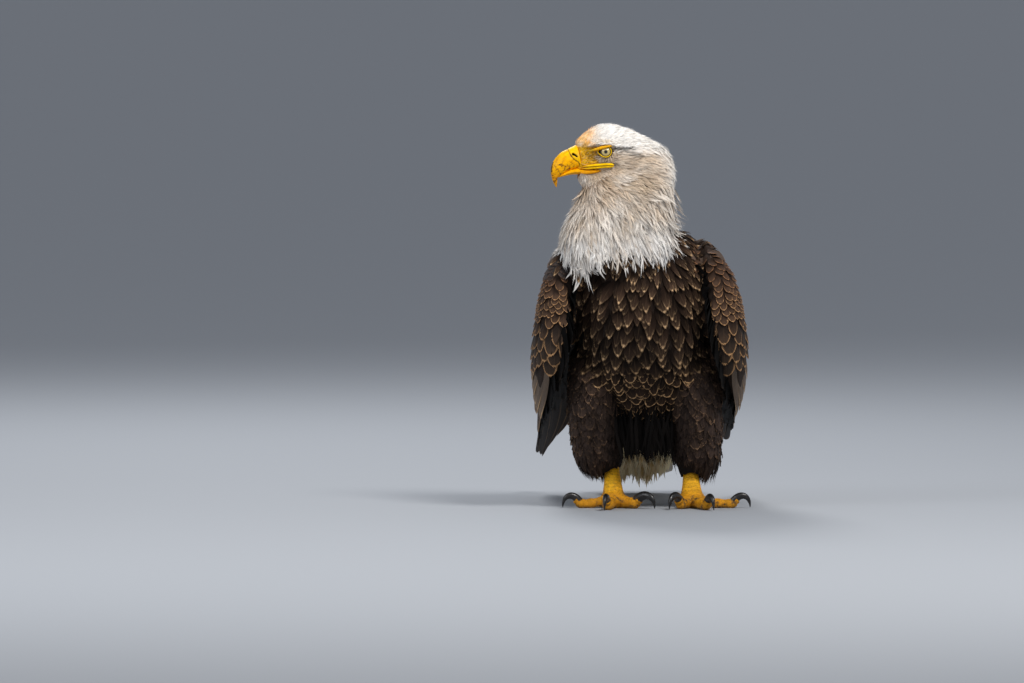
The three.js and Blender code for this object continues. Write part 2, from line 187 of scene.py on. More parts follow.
def loft(rings, close_start=True, close_end=True):
    """rings: (n, m, 3). Returns vertices and outward triangles of a closed body."""
    n, m, _ = rings.shape
    co = [rings.reshape(-1, 3)]
    tri = []
    i, j = np.meshgrid(np.arange(n - 1), np.arange(m), indexing="ij")
    a = i * m + j
    b = i * m + (j + 1) % m
    c, d = a + m, b + m
    tri.append(np.stack([a, b, d], -1).reshape(-1, 3))
    tri.append(np.stack([a, d, c], -1).reshape(-1, 3))
    k = n * m
    jj = np.arange(m)
    if close_start:
        co.append(rings[0].mean(0)[None])
        tri.append(np.stack([(jj + 1) % m, jj, np.full(m, k)], -1))
        k += 1
    if close_end:
        co.append(rings[-1].mean(0)[None])
        base = (n - 1) * m
        tri.append(np.stack([base + jj, base + (jj + 1) % m, np.full(m, k)], -1))
    co, tri = np.concatenate(co), np.concatenate(tri)
    p = co[tri]
    if np.einsum("ij,ij->", p[:, 0], np.cross(p[:, 1], p[:, 2])) < 0:
        tri = tri[:, ::-1]
    return co, tri


def merge(parts):
    co, tri, k = [], [], 0
    for c, t in parts:
        co.append(c)
        tri.append(t + k)
        k += len(c)
    return np.concatenate(co), np.concatenate(tri)


def mesh_arrays(me):
    co = np.empty(len(me.vertices) * 3, np.float32)
    me.vertices.foreach_get("co", co)
    me.calc_loop_triangles()
    tri = np.empty(len(me.loop_triangles) * 3, np.int32)
    me.loop_triangles.foreach_get("vertices", tri)
    return co.reshape(-1, 3).astype(float) * 1000.0, tri.reshape(-1, 3)


def remesh(co, tri, voxel_mm):
    """One closed surface over everything in the arrays."""
    me = mesh_from("tmp", co, tri)
    ob = bpy.data.objects.new("tmp", me)
    bpy.context.scene.collection.objects.link(ob)
    mod = ob.modifiers.new("r", "REMESH")
    mod.mode = "VOXEL"
    mod.voxel_size = voxel_mm / 1000.0
    dg = bpy.context.evaluated_depsgraph_get()
    ev = ob.evaluated_get(dg)
    out = mesh_arrays(ev.to_mesh())
    ev.to_mesh_clear()
    bpy.data.objects.remove(ob)
    bpy.data.meshes.remove(me)
    return out


def vertex_normals(co, tri):
    p = co[tri]
    fn = np.cross(p[:, 1] - p[:, 0], p[:, 2] - p[:, 0])
    n = np.zeros_like(co)
    for k in range(3):
        np.add.at(n, tri[:, k], fn)
    return unit(n)


def relax(co, tri, times, lam=0.5, mu=-0.52, weight=None):
    """Smoothing that keeps the volume."""
    e = np.unique(np.sort(np.concatenate([tri[:, [0, 1]], tri[:, [1, 2]], tri[:, [2, 0]]]), axis=1), axis=0)
    n = np.bincount(e.ravel(), minlength=len(co)).astype(float)[:, None]
    n[n == 0] = 1
    for k in range(times):
        for f in ((lam, mu) if mu else (lam,)):
            s = np.zeros_like(co)
            for c in range(co.shape[1]):
                s[:, c] = np.bincount(e[:, 0], co[e[:, 1], c], len(co)) + np.bincount(e[:, 1], co[e[:, 0], c], len(co))
            step = f * (s / n - co)
            co = co + (step if weight is None else step * weight[:, None])
    return co


# ---- materials ------------------------------------------------------------------------------------
class Nodes:
    """Short names for building a node tree."""

    def __init__(self, name):
        self.mat = bpy.data.materials.new(name)
        self.mat.use_nodes = True
        self.t = self.mat.node_tree
        self.t.nodes.clear()
        self.out = self.t.nodes.new("ShaderNodeOutputMaterial")
        self.bsdf = self.t.nodes.new("ShaderNodeBsdfPrincipled")
        self.link(self.bsdf.outputs[0], self.out.inputs["Surface"])

    def new(self, kind, **props):
        n = self.t.nodes.new(kind)
        for k, v in props.items():
            setattr(n, k, v)
        return n

    def link(self, a, b):
        self.t.links.new(a, b)
        return b

    def put(self, socket, value):
        if hasattr(value, "is_output") or isinstance(value, bpy.types.NodeSocket):
            self.t.links.new(value, socket)
        else:
            socket.default_value = value

    def set(self, **kw):
        for k, v in kw.items():
            self.put(self.bsdf.inputs[k.replace("_", " ")], v)

    def attr(self, name, out="Color"):
        n = self.new("ShaderNodeAttribute", attribute_name=name)
        return n.outputs[out]

    def math(self, op, a, b=0.0, c=0.0, clamp=False):
        n = self.new("ShaderNodeMath", operation=op, use_clamp=clamp)
        self.put(n.inputs[0], a)
        self.put(n.inputs[1], b)
        self.put(n.inputs[2], c)
        return n.outputs[0]

    def range(self, v, lo, hi, to_lo=0.0, to_hi=1.0):
        n = self.new("ShaderNodeMapRange", interpolation_type="SMOOTHSTEP")
        for i, x in enumerate((v, lo, hi, to_lo, to_hi)):
            self.put(n.inputs[i], x)
        return n.outputs[0]

    def mixc(self, fac, a, b, blend="MIX"):
        n = self.new("ShaderNodeMix", data_type="RGBA", blend_type=blend)
        self.put(n.inputs[0], fac)
        for i, x in ((6, a), (7, b)):
            if isinstance(x, (tuple, list, np.ndarray)):
                x = (*[float(v) for v in x][:3], 1.0)
            self.put(n.inputs[i], x)
        return n.outputs[2]

    def noise(self, vec, scale, detail=2.0, rough=0.5, distort=0.0):
        n = self.new("ShaderNodeTexNoise")
        self.put(n.inputs["Vector"], vec)
        n.inputs["Scale"].default_value = scale
        n.inputs["Detail"].default_value = detail
        n.inputs["Roughness"].default_value = rough
        n.inputs["Distortion"].default_value = distort
        return n.outputs["Fac"]

    def voronoi(self, vec, scale, feature="DISTANCE_TO_EDGE", rand=1.0):
        n = self.new("ShaderNodeTexVoronoi", feature=feature)
        self.put(n.inputs["Vector"], vec)
        n.inputs["Scale"].default_value = scale
        n.inputs["Randomness"].default_value = rand
        return n.outputs["Distance"]

    def bump(self, height, strength, distance):
        n = self.new("ShaderNodeBump")
        self.put(n.inputs["Height"], height)
        n.inputs["Strength"].default_value = strength
        n.inputs["Distance"].default_value = distance
        self.link(n.outputs[0], self.bsdf.inputs["Normal"])
        return n.outputs[0]

    def object_coords(self):
        return self.new("ShaderNodeTexCoord").outputs["Object"]


def feather_material(name, streak=0.35, tuft=1.0, rough=0.62, sheen=0.15, edge=(0.72, 0.98), tip=(0.72, 0.97), shaft=0.5, warm=0.0, spec=0.15, rim_share=1.0, spot=0.0, rim_from=(0.35, 0.85)):
    """Tint: the vane's colour. Edge: the rim's colour, its alpha how strong. Vane: across and along
    the vane, as shares. Barb: the same in mm, with a number of its own for each feather."""
    n = Nodes(name)
    tint, rim = n.new("ShaderNodeAttribute", attribute_name="Tint"), n.new("ShaderNodeAttribute", attribute_name="Edge")
    uv = n.new("ShaderNodeUVMap", uv_map="Vane")
    sep = n.new("ShaderNodeSeparateXYZ")
    n.link(uv.outputs[0], sep.inputs[0])
    across = n.math("ABSOLUTE", sep.outputs[0])
    along = sep.outputs[1]
    mm = n.new("ShaderNodeSeparateXYZ")
    n.link(n.attr("Barb", "Vector"), mm.inputs[0])
    x, s, own = mm.outputs[0], mm.outputs[1], mm.outputs[2]
    # barbs run out and forward from the shaft
    line = n.math("SUBTRACT", s, n.math("MULTIPLY", n.math("ABSOLUTE", x), 1.1))
    vec = n.new("ShaderNodeCombineXYZ")
    n.put(vec.inputs[0], line)
    n.put(vec.inputs[1], n.math("MULTIPLY", x, 0.10))
    n.put(vec.inputs[2], own)
    fine = n.noise(vec.outputs[0], 1.3 * tuft, 2.0, 0.6)
    edge_m = n.range(across, edge[0], edge[1])
    tip_m = n.range(along, tip[0], tip[1])
    near_tip = n.range(along, rim_from[0], rim_from[1])
    soft = n.math("MULTIPLY", n.math("MULTIPLY", n.range(along, 0.45, 1.0), rim.outputs["Alpha"]), warm, clamp=True)
    tip_m = n.math("MULTIPLY", tip_m, n.math("SUBTRACT", 1.0, n.math("MULTIPLY", n.range(across, 0.30, 0.95), spot)))
    m = n.math("MAXIMUM", n.math("MULTIPLY", n.math("MULTIPLY", edge_m, near_tip), rim_share), tip_m)
    m = n.math("MULTIPLY", m, rim.outputs["Alpha"], clamp=True)
    wob = n.range(fine, 0.25, 0.7, 0.45, 1.15)
    m = n.math("MULTIPLY", m, wob, clamp=True)
    col = n.mixc(soft, tint.outputs["Color"], rim.outputs["Color"])
    col = n.mixc(m, col, rim.outputs["Color"])
    lines = n.range(fine, 0.2, 0.8, 1.0 - streak, 1.0 + streak)
    shade = n.new("ShaderNodeCombineXYZ")
    for i in range(3):
        n.put(shade.inputs[i], lines)
    col = n.mixc(1.0, col, shade.outputs[0], "MULTIPLY")
    sh = n.range(across, 0.0, 0.09, shaft, 0.0)
    col = n.mixc(n.math("MULTIPLY", sh, n.range(along, 0.2, 0.6)), col, rim.outputs["Color"])
    n.put(n.bsdf.inputs["Base Color"], col)
    n.bsdf.inputs["Roughness"].default_value = rough
    n.bsdf.inputs["Specular IOR Level"].default_value = spec
    n.bsdf.inputs["Sheen Weight"].default_value = sheen
    n.bsdf.inputs["Sheen Roughness"].default_value = 0.5
    n.bump(fine, 0.35, 0.0006)
    return n.mat


# ---- the skin: one surface under the coat ------------------------------------------------------------
FLESH = ["head", "neck", "trunk", "thigh_left", "thigh_right", "wing_left", "wing_right"]
node_arrays = {k: mesh_arrays(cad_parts[k].data) for k in FLESH}


def bvh_of(co, tri):
    return BVHTree.FromPolygons([tuple(p) for p in co.tolist()], tri.tolist())


region_trees = {k: bvh_of(*node_arrays[k]) for k in FLESH}

# the root of the tail: a flat cone inside the tail's own solid
k = np.linspace(0, 1, 9)
q = np.linspace(0, 2 * math.pi, 20, endpoint=False)
core = np.stack([np.stack([4 - 4 * kk + mix(27, 37, kk) * np.cos(q), np.full(20, 112 + 118 * kk),
                           178 - 62 * kk - 6 * (np.cos(q) ** 2) + mix(15, 4.5, kk) * np.sin(q)], -1) for kk in k])
core = loft(D(core))

raw = merge([node_arrays[k] for k in FLESH] + [core])
skin_co, skin_tri = remesh(*raw, 3.6)
skin_co = relax(skin_co, skin_tri, 6)

REGIONS = ["head", "neck", "trunk", "thigh", "wing", "tail"]


def regions_of(points):
    """Weights of the six regions at points, soft over about 8 mm."""
    names = ["head", "neck", "trunk", "thigh_left", "thigh_right", "wing_left", "wing_right"]
    d = np.empty((len(points), 8))
    for c, nm in enumerate(names):
        near = region_trees[nm].find_nearest
        d[:, c] = [near(p)[3] for p in points.tolist()]
    back = points - D([0, 150, 158])
    d[:, 7] = np.where((back[:, 1] > 0), 0.0, 30.0) + np.abs(back[:, 0]) * 0.15
    w = np.exp(-d / 2.2)
    w[:, 7] *= sstep(150, 176, points[:, 1] - OFF[1]) * (np.abs(points[:, 0] - OFF[0]) < 48)
    six = np.stack([w[:, 0], w[:, 1], w[:, 2], w[:, 3] + w[:, 4], w[:, 5] + w[:, 6], w[:, 7] * 8], -1)
    return six / six.sum(1, keepdims=True)


skin_w = regions_of(skin_co)
skin_w = relax(skin_w, skin_tri, 3, 0.6, 0)
depth_by = np.array([2.0, 4.6, 6.8, 7.0, 4.8, 3.0])
depth = skin_w @ depth_by
a_, b_, c_ = head_coords(skin_co)
face = skin_w[:, 0] * sstep(-8, 16, a_)
depth = mix(depth, 1.4, face)
nrm = vertex_normals(skin_co, skin_tri)
tree0 = bvh_of(skin_co, skin_tri)
thick = np.array([(lambda h: h[3] if h[0] is not None else 400.0)(tree0.ray_cast(Vector(p) - Vector(m_) * 0.5, -Vector(m_)))
                  for p, m_ in zip(skin_co.tolist(), nrm.tolist())])
depth = np.minimum(depth, 0.34 * thick)
depth = relax(depth[:, None], skin_tri, 5, 0.6, 0)[:, 0]
skin_co = skin_co - nrm * depth[:, None]
skin_co = relax(skin_co, skin_tri, 4)


def refine(co, tri, extra, wanted):
    """Splits the wanted faces in four, and their neighbours to suit. extra: one row per vertex."""
    e = np.sort(np.concatenate([tri[:, [0, 1]], tri[:, [1, 2]], tri[:, [2, 0]]]), axis=1)
    edges, inv = np.unique(e, axis=0, return_inverse=True)
    inv = inv.reshape(3, -1).T  # edge of each side of each face
    cut = np.zeros(len(edges), bool)
    cut[inv[wanted].ravel()] = True
    new_id = np.full(len(edges), -1)
    new_id[cut] = len(co) + np.arange(cut.sum())
    co = np.concatenate([co, co[edges[cut]].mean(1)])
    extra = np.concatenate([extra, extra[edges[cut]].mean(1)])
    m = new_id[inv]
    has = m >= 0
    n_cut = has.sum(1)
    out = [tri[n_cut == 0]]
    for c in (1, 2, 3):
        pick = np.where(n_cut == c)[0]
        if not len(pick):
            continue
        t, mm, hh = tri[pick], m[pick], has[pick]
        if c == 3:
            a, b, d = t.T
            x, y, z = mm.T
            out += [np.stack(q, -1) for q in ((a, x, z), (x, b, y), (z, y, d), (x, y, z))]
        else:
            # turn each face so that side 0 is the cut one (c == 1) or side 2 the whole one (c == 2)
            roll = np.argmax(hh, 1) if c == 1 else (np.argmin(hh, 1) + 1) % 3
            idx = (np.arange(3)[None] + roll[:, None]) % 3
            t = np.take_along_axis(t, idx, 1)
            mm = np.take_along_axis(mm, idx, 1)
            a, b, d = t.T
            x, y, _ = mm.T
            if c == 1:
                out += [np.stack(q, -1) for q in ((a, x, d), (x, b, d))]
            else:
                out += [np.stack(q, -1) for q in ((x, b, y), (a, x, y), (a, y, d))]
    return co, np.concatenate(out), extra


def line_distance(x, y, line):
    """Distance in the (x, y) plane to a polyline, and how far along it as a share."""
    best, along = np.full(np.shape(x), 1e9), np.zeros(np.shape(x))
    n = len(line) - 1
    for i in range(n):
        (x0, y0), (x1, y1) = line[i], line[i + 1]
        dx, dy = x1 - x0, y1 - y0
        t = (((x - x0) * dx + (y - y0) * dy) / (dx * dx + dy * dy)).clip(0, 1)
        d = np.hypot(x - x0 - t * dx, y - y0 - t * dy)
        near = d < best
        best, along = np.where(near, d, best), np.where(near, (i + t) / n, along)
    return best, along


# Lines on the side of the face, in the head's own directions (forward, up), seen from the side.
BROW = [(25, 2.0), (16, 4.6), (9.5, 7.0), (2.8, 8.4), (-3.5, 9.8), (-11, 9.0), (-20, 7.0)]
for step in range(2):
    a_, b_, c_ = head_coords(skin_co[skin_tri].mean(1))
    wanted = (a_ > -30) & (a_ < 48) & (c_ > -46) & (c_ < 30) & (np.abs(b_) > 4) & (np.abs(b_) < 45)
    skin_co, skin_tri, skin_w = refine(skin_co, skin_tri, skin_w, wanted)
skin_nrm = vertex_normals(skin_co, skin_tri)
a_, b_, c_ = head_coords(skin_co)
side_ = sstep(0.15, 0.55, np.abs(skin_nrm @ LEFT)) * (np.abs(b_) > 6) * sstep(50, 40, a_)
d_, s_ = line_distance(a_, c_ - 3.0, BROW)
push = 1.0 * np.exp(-(d_ / 3.6) ** 2) * np.sin(np.pi * (0.1 + 0.8 * s_))
push += 3.4 * np.exp(-(((a_ + 1) / 17) ** 2 + ((c_ + 1) / 12.0) ** 2) ** 2)
push -= 0.9 * np.exp(-(((a_ - 22) / 8) ** 2 + ((c_ + 7) / 7) ** 2))
push -= 0.8 * np.exp(-((c_ + 27.5) / 2.5) ** 2) * sstep(0, 10, a_)
push = push * side_
up_f = skin_nrm @ UP + 0.7 * np.abs(skin_nrm @ FWD)
push += np.interp(a_, [-112, -92, -60, -20, 0, 20, 29, 37, 46, 52], [0, -3.2, -4.6, -5.0, -3.2, -0.6, 1.4, 3.0, 2.6, 0]) * sstep(2, 16, c_) * sstep(0.1, 0.6, up_f)
push += 3.2 * sstep(-44, -62, c_) * sstep(-150, -110, c_) * sstep(0.2, 0.7, skin_nrm @ FWD) * skin_w[:, 1]
dx_, dy_, dz_ = (skin_co - OFF).T
push += 5.5 * sstep(50, 66, dx_) * sstep(118, 96, dx_) * sstep(352, 380, dz_) * sstep(0.1, 0.6, skin_nrm @ np.array([0.5, 0.0, 0.86]))
push -= 9.0 * sstep(30, 54, dx_) * sstep(364, 386, dz_) * sstep(462, 430, dz_) * skin_w[:, 1]
push -= 2.5 * sstep(86, 100, dx_) * sstep(330, 350, dz_) * sstep(0.1, 0.5, skin_nrm @ np.array([0.6, 0.0, 0.8]))
skin_co = skin_co + skin_nrm * push[:, None]
facing = sstep(0.0, -0.5, skin_nrm[:, 1])
skin_co[:, 1] += np.interp(dz_, [326, 336, 372, 405, 432], [0, 19, 15, 9, 0]) * ((-124 - dy_) / 26).clip(0, 1)
skin_co[:, 1] -= 4.5 * sstep(250, 322, dz_) * sstep(372, 350, dz_) * facing * skin_w[:, 2] * sstep(80, 50, np.abs(dx_ - 4))
dx_, dy_, dz_ = (skin_co - OFF).T
under_ruff = sstep(-96, -112, dy_) * sstep(22, 8, np.abs(dz_ - 340)) * sstep(74, 58, np.abs(dx_ - 2))
skin_co = relax(skin_co, skin_tri, 36, mu=None, weight=under_ruff)
near_face = ((a_ > -34) & (c_ > -48) & (c_ < 32)).astype(float)
skin_co = relax(skin_co, skin_tri, 5, weight=near_face)
skin_nrm = vertex_normals(skin_co, skin_tri)
skin_tree = bvh_of(skin_co, skin_tri)
print("skin", len(skin_co), len(skin_tri))


def hem_z(p):
    """How low the tips of the white hackles come."""
    x, y = p[..., 0] - OFF[0], p[..., 1] - OFF[1]
    front = np.interp(x, [-118, -107, -97, -81, -68, -55, -32, 0, 30, 40, 46, 54, 64], [366, 353, 337, 323, 340, 345, 351, 354, 352, 363, 386, 424, 448])
    return mix(front, np.maximum(front, 360.0), sstep(-60, 0, y))


# Under the white hem the neck's solid is dressed in brown.
down_ = sstep(34, 14, skin_co[:, 2] - OFF[2] - hem_z(skin_co)) * skin_w[:, 1]
skin_w[:, 1] -= down_
skin_w[:, 2] += down_

# ---- markings: the colours of skin and coat by place ---------------------------------------------------
WHITE, CREAM, BUFF = srgb(246, 242, 236), srgb(214, 188, 156), srgb(172, 146, 118)
STAIN = srgb(255, 200, 108)
BREAST, BREAST_TIP = srgb(56, 41, 32), srgb(236, 194, 146)
BELLY, BACK, BACK_EDGE = srgb(44, 32, 25), srgb(54, 42, 34), srgb(128, 102, 80)
COVERT, COVERT_EDGE = srgb(60, 45, 36), srgb(196, 150, 104)
FLIGHT, FLIGHT_EDGE = srgb(31, 27, 26), srgb(124, 98, 74)
VENT = srgb(150, 134, 108)


def white_tint(p):
    """Head and neck: white crown, cream cheeks and neck, cooler hem, a rusty stain over the bill."""
    a, b, c = head_coords(p)
    z = p[:, 2] - OFF[2]
    col = np.tile(WHITE, (len(p), 1))
    cheek = sstep(10, -12, c) * sstep(74, 20, np.abs(c + 30)) * sstep(-100, -58, a) * (z > 380)
    col = mix(col, CREAM, (0.80 * cheek * (0.85 + 0.30 * drift(p, 36)))[:, None].clip(0, 1))
    col = mix(col, BUFF, (0.35 * cheek * sstep(-0.1, 0.8, drift(p + 90, 23)))[:, None])
    low = sstep(470, 425, z)
    warm = (0.30 * low * (1 + 0.9 * drift(p + 40, 48))).clip(0, 0.7)
    col = mix(col, CREAM, warm[:, None])
    col = mix(col, srgb(236, 236, 236), (sstep(400, 360, z) * 0.7)[:, None])
    stain = sstep(9, 27, a) * sstep(0, 9, c) * (0.80 + 0.4 * drift(p, 14))
    stain = np.maximum(stain, 0.5 * sstep(2, 26, a) * sstep(10, 20, c) * sstep(36, 24, c) * (0.6 + 0.5 * drift(p, 12)))
    col = mix(col, STAIN, (0.92 * stain).clip(0, 0.95)[:, None])
    return mix(col, srgb(206, 132, 44), (0.42 * stain * sstep(0.1, 0.9, drift(p * 1.7 + 5, 9))).clip(0, 0.8)[:, None])


def face_streaks_and_painted_shadow(p):
    """Dark lines on the face: painted shadow behind the eye under the brow feathers (d1) and before the brow strip,
    between it and the forehead feathers (d4); a dark streak further back behind the eye (d2); and a dark line over the
    corner of the mouth (d3).
    """
    a, b, c = head_coords(p)
    on = np.abs(b) > 8
    d1 = line_distance(a, c, [(-5, 7.0), (-10, 5.2), (-18, 4.2), (-34, 4.2)])[0]
    d2 = line_distance(a, c, [(-24, 0.6), (-35, -2.5), (-46, -6.7)])[0]
    d3 = line_distance(a, c, [(9, -15.6), (0, -16.0), (-10, -17.2), (-15, -19)])[0]
    d4 = line_distance(a, c, [(33, 6.5), (25, 5.2), (17, 8.0), (12, 9.6)])[0]
    v = 0.85 * np.exp(-(d1 / 1.7) ** 2) + 0.6 * np.exp(-(d2 / 1.6) ** 2) + 0.75 * np.exp(-(d3 / 1.5) ** 2) + 0.7 * np.exp(-(d4 / 1.5) ** 2)
    return (v * on).clip(0, 0.88)


def brown_tint(p, w):
    z = p[:, 2] - OFF[2]
    y = p[:, 1] - OFF[1]
    col = np.tile(BREAST, (len(p), 1))
    col = mix(col, BELLY, sstep(300, 220, z)[:, None])
    col = mix(col, BACK, sstep(-40, 40, y)[:, None])
    col = mix(col, srgb(40, 31, 27), w[:, 3:4])
    col = mix(col, COVERT, w[:, 4:5])
    # painted shade: low under the body, toward the vent and under the rump, the brown is darkened
    under = np.maximum(sstep(150, 118, z) * sstep(30, 90, y), 1.6 * sstep(165, 125, z) * sstep(-110, -60, y) * w[:, 2])
    return col * (1 - 0.35 * under[:, None])


def base_tint(p, w):
    wh = (w[:, 0] + w[:, 1] + w[:, 5]).clip(0, 1)[:, None]
    return mix(brown_tint(p, w), white_tint(p), wh)


skin_me = mesh_from("skin", skin_co, skin_tri)
skin_ob_tmp = bpy.data.objects.new("unwrap", skin_me)
bpy.context.scene.collection.objects.link(skin_ob_tmp)
bpy.context.view_layer.objects.active = skin_ob_tmp
skin_ob_tmp.select_set(True)
bpy.ops.object.mode_set(mode="EDIT")
bpy.ops.mesh.select_all(action="SELECT")
bpy.ops.uv.smart_project(angle_limit=math.radians(62), island_margin=0.004)
bpy.ops.object.mode_set(mode="OBJECT")
skin_me.uv_layers[0].name = "OFBake"
uv = np.empty(len(skin_me.loops) * 2, np.float32)
skin_me.uv_layers[0].data.foreach_get("uv", uv)
skin_uv = uv.reshape(-1, 3, 2).astype(float)
bpy.data.objects.remove(skin_ob_tmp)
mesh_tri = np.empty(len(skin_me.loops), np.int32)
skin_me.loops.foreach_get("vertex_index", mesh_tri)
skin_tri = mesh_tri.reshape(-1, 3)
skin_tree = bvh_of(skin_co, skin_tri)

tint = base_tint(skin_co, skin_w)
# painted shade: the skin shows only in the gaps between the feathers, so its colour is darkened, and more so low on the
# neck between the hackles
dark = mix(0.5, 0.72, (skin_w[:, 0] + skin_w[:, 1])[:, None])
tint = tint * dark * mix(1.0, 0.55, (skin_w[:, 1] * sstep(410, 372, skin_co[:, 2] - OFF[2]))[:, None])
# painted shade: the downward-facing skin under the ruff's end on the bird's right, low on the neck and upper trunk, is
# painted near-black brown
ruff_underside_painted_shade = sstep(-0.05, -0.35, skin_nrm[:, 2]) * sstep(400, 380, skin_co[:, 2] - OFF[2]) * sstep(-40, -56, skin_co[:, 0] - OFF[0]) * (skin_w[:, 1] + skin_w[:, 2])
tint = mix(tint, srgb(34, 27, 23), ruff_underside_painted_shade[:, None].clip(0, 1))
a_, b_, c_ = head_coords(skin_co)
lore = sstep(6, 12, a_) * sstep(8.5, 5.0, c_) * sstep(-31.5, -28.5, c_ - 5 * sstep(32, 37, a_)) * (np.abs(b_) > 5) * skin_w[:, 0]
bare_skin = mix(np.tile(srgb(222, 164, 28), (len(skin_co), 1)), srgb(190, 146, 58), sstep(26, 14, a_)[:, None])
bare_skin = mix(bare_skin, srgb(232, 176, 24), (sstep(-10, -15, c_) * 0.9)[:, None])
bare_skin = mix(bare_skin, srgb(226, 172, 30), (sstep(27, 36, a_) * 0.9)[:, None])
bare_skin = mix(bare_skin, srgb(206, 140, 50), sstep(-23.5, -25.5, c_)[:, None])
bare_skin = bare_skin * (0.92 + 0.16 * drift(skin_co, 5))[:, None]
tint = mix(tint, bare_skin, lore[:, None])
ring_ = np.exp(-(np.hypot(a_ - 1.4, c_) / 15) ** 4) * (np.abs(b_) > 12)
tint = mix(tint, srgb(178, 152, 120), (ring_ * (1 - lore))[:, None])
put_colour(skin_me, "Tint", tint)
n = Nodes("skin_down")
col = n.attr("Tint")
obc = n.object_coords()
down = n.noise(obc, 420.0, 3.0, 0.6)
sh = n.new("ShaderNodeCombineXYZ")
v = n.range(down, 0.2, 0.8, 0.7, 1.25)
for i in range(3):
    n.put(sh.inputs[i], v)
n.put(n.bsdf.inputs["Base Color"], n.mixc(1.0, col, sh.outputs[0], "MULTIPLY"))
n.bsdf.inputs["Roughness"].default_value = 0.9
n.bsdf.inputs["Specular IOR Level"].default_value = 0.2
n.bump(down, 0.6, 0.001)
skin = add_object(skin_me, n.mat)
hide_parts(*FLESH)


def root_uv(points, faces):
    """The roots' places on the skin's unwrap."""
    t = skin_tri[faces]
    a, b, c = skin_co[t[:, 0]], skin_co[t[:, 1]], skin_co[t[:, 2]]
    v0, v1, v2 = b - a, c - a, points - a
    d00, d01, d11 = (v0 * v0).sum(1), (v0 * v1).sum(1), (v1 * v1).sum(1)
    d20, d21 = (v2 * v0).sum(1), (v2 * v1).sum(1)
    den = np.maximum(d00 * d11 - d01 * d01, 1e-9)
    v = ((d11 * d20 - d01 * d21) / den).clip(0, 1)
    w = ((d00 * d21 - d01 * d20) / den).clip(0, 1)
    u = skin_uv[faces]
    return (1 - v - w)[:, None] * u[:, 0] + v[:, None] * u[:, 1] + w[:, None] * u[:, 2]


# ---- where feathers grow, and which way they lie ----------------------------------------------------------
WRIST, TIP = np.array([116.0, -110.0, 322.0]), np.array([136.0, 372.0, 52.0])
BILL_BASE = in_head(44, 0, -8)
AFT = unit(np.array([0.04, 235.0, -222.0]))


def wing_share(p):
    """How far back along the folded wing, 0 at the wrist and 1 at the tip."""
    d = p - OFF
    ax = TIP - WRIST
    q = np.stack([np.abs(d[:, 0]), d[:, 1], d[:, 2]], -1) - WRIST
    return (q @ ax) / (ax @ ax)


def lie(p, w, nr):
    """The lie of the coat at points, along the skin."""
    d = p - BILL_BASE
    r = np.linalg.norm(d, axis=1, keepdims=True)
    k = 0.85 * sstep(60, 190, r)
    headward = d / np.maximum(r, 1e-6) * (1 - k) + np.array([0, 0, -1.0]) * k
    down = np.tile(np.array([0.0, 0.12, -1.0]), (len(p), 1))
    body = np.tile(AFT, (len(p), 1)) * 0.75 + down * 0.35
    t = wing_share(p)[:, None]
    sgn = np.sign(p[:, 0:1] - OFF[0])
    ax = unit(TIP - WRIST) * np.array([1.0, 1, 1])
    axs = np.concatenate([ax[0] * sgn, np.full_like(sgn, ax[1]), np.full_like(sgn, ax[2])], 1)
    wing = mix(unit(np.array([0, 0.28, -1.0])) * np.ones_like(p), axs, sstep(0.10, 0.36, t))
    tail = np.tile(unit(np.array([0.0, 278.0, -155.0])), (len(p), 1))
    f = (headward * (w[:, 0:1] + w[:, 1:2]) + body * w[:, 2:3] + down * w[:, 3:4] + wing * w[:, 4:5] + tail * w[:, 5:6])
    f = f - (f * nr).sum(1, keepdims=True) * nr
    return unit(f)


tri_p = skin_co[skin_tri]
tri_area = np.linalg.norm(np.cross(tri_p[:, 1] - tri_p[:, 0], tri_p[:, 2] - tri_p[:, 0]), axis=1) / 2
tri_mid = tri_p.mean(1)
tri_w = skin_w[skin_tri].mean(1)
tri_n = unit(np.cross(tri_p[:, 1] - tri_p[:, 0], tri_p[:, 2] - tri_p[:, 0]))


def scatter(mask, spacing, seed, tries=6.0):
    """Roots on the skin: no two nearer than spacing(mm), which may vary from face to face."""
    rng = np.random.RandomState(seed)
    sp = spacing if np.ndim(spacing) else np.full(len(skin_tri), float(spacing))
    area = tri_area * mask
    want = area / (sp * sp) * tries
    count = int(want.sum())
    face = rng.choice(len(skin_tri), count, p=want / want.sum())
    r1, r2 = rng.rand(count), rng.rand(count)
    s = np.sqrt(r1)
    bary = np.stack([1 - s, s * (1 - r2), s * r2], -1)
    p = (tri_p[face] * bary[:, :, None]).sum(1)
    rad = sp[face]
    cell = float(sp[area > 0].max())
    keep, grid = [], {}
    pl, rl = p.tolist(), rad.tolist()
    for i, (x, y, z) in enumerate(pl):
        cx, cy, cz = int(x // cell), int(y // cell), int(z // cell)
        r = rl[i]
        ok = True
        for ix in (cx - 1, cx, cx + 1):
            for iy in (cy - 1, cy, cy + 1):
                for iz in (cz - 1, cz, cz + 1):
                    for j in grid.get((ix, iy, iz), ()):
                        q = pl[j]
                        m = min(r, rl[j])
                        if (q[0] - x) ** 2 + (q[1] - y) ** 2 + (q[2] - z) ** 2 < m * m:
                            ok = False
                            break
                    if not ok:
                        break
                if not ok:
                    break
            if not ok:
                break
        if ok:
            grid.setdefault((cx, cy, cz), []).append(i)
            keep.append(i)
    keep = np.array(keep)
    f = face[keep]
    w = (skin_w[skin_tri[f]] * bary[keep][:, :, None]).sum(1)
    nr = unit((skin_nrm[skin_tri[f]] * bary[keep][:, :, None]).sum(1))
    return {"p": p[keep], "n": nr, "w": w / w.sum(1, keepdims=True), "face": f}


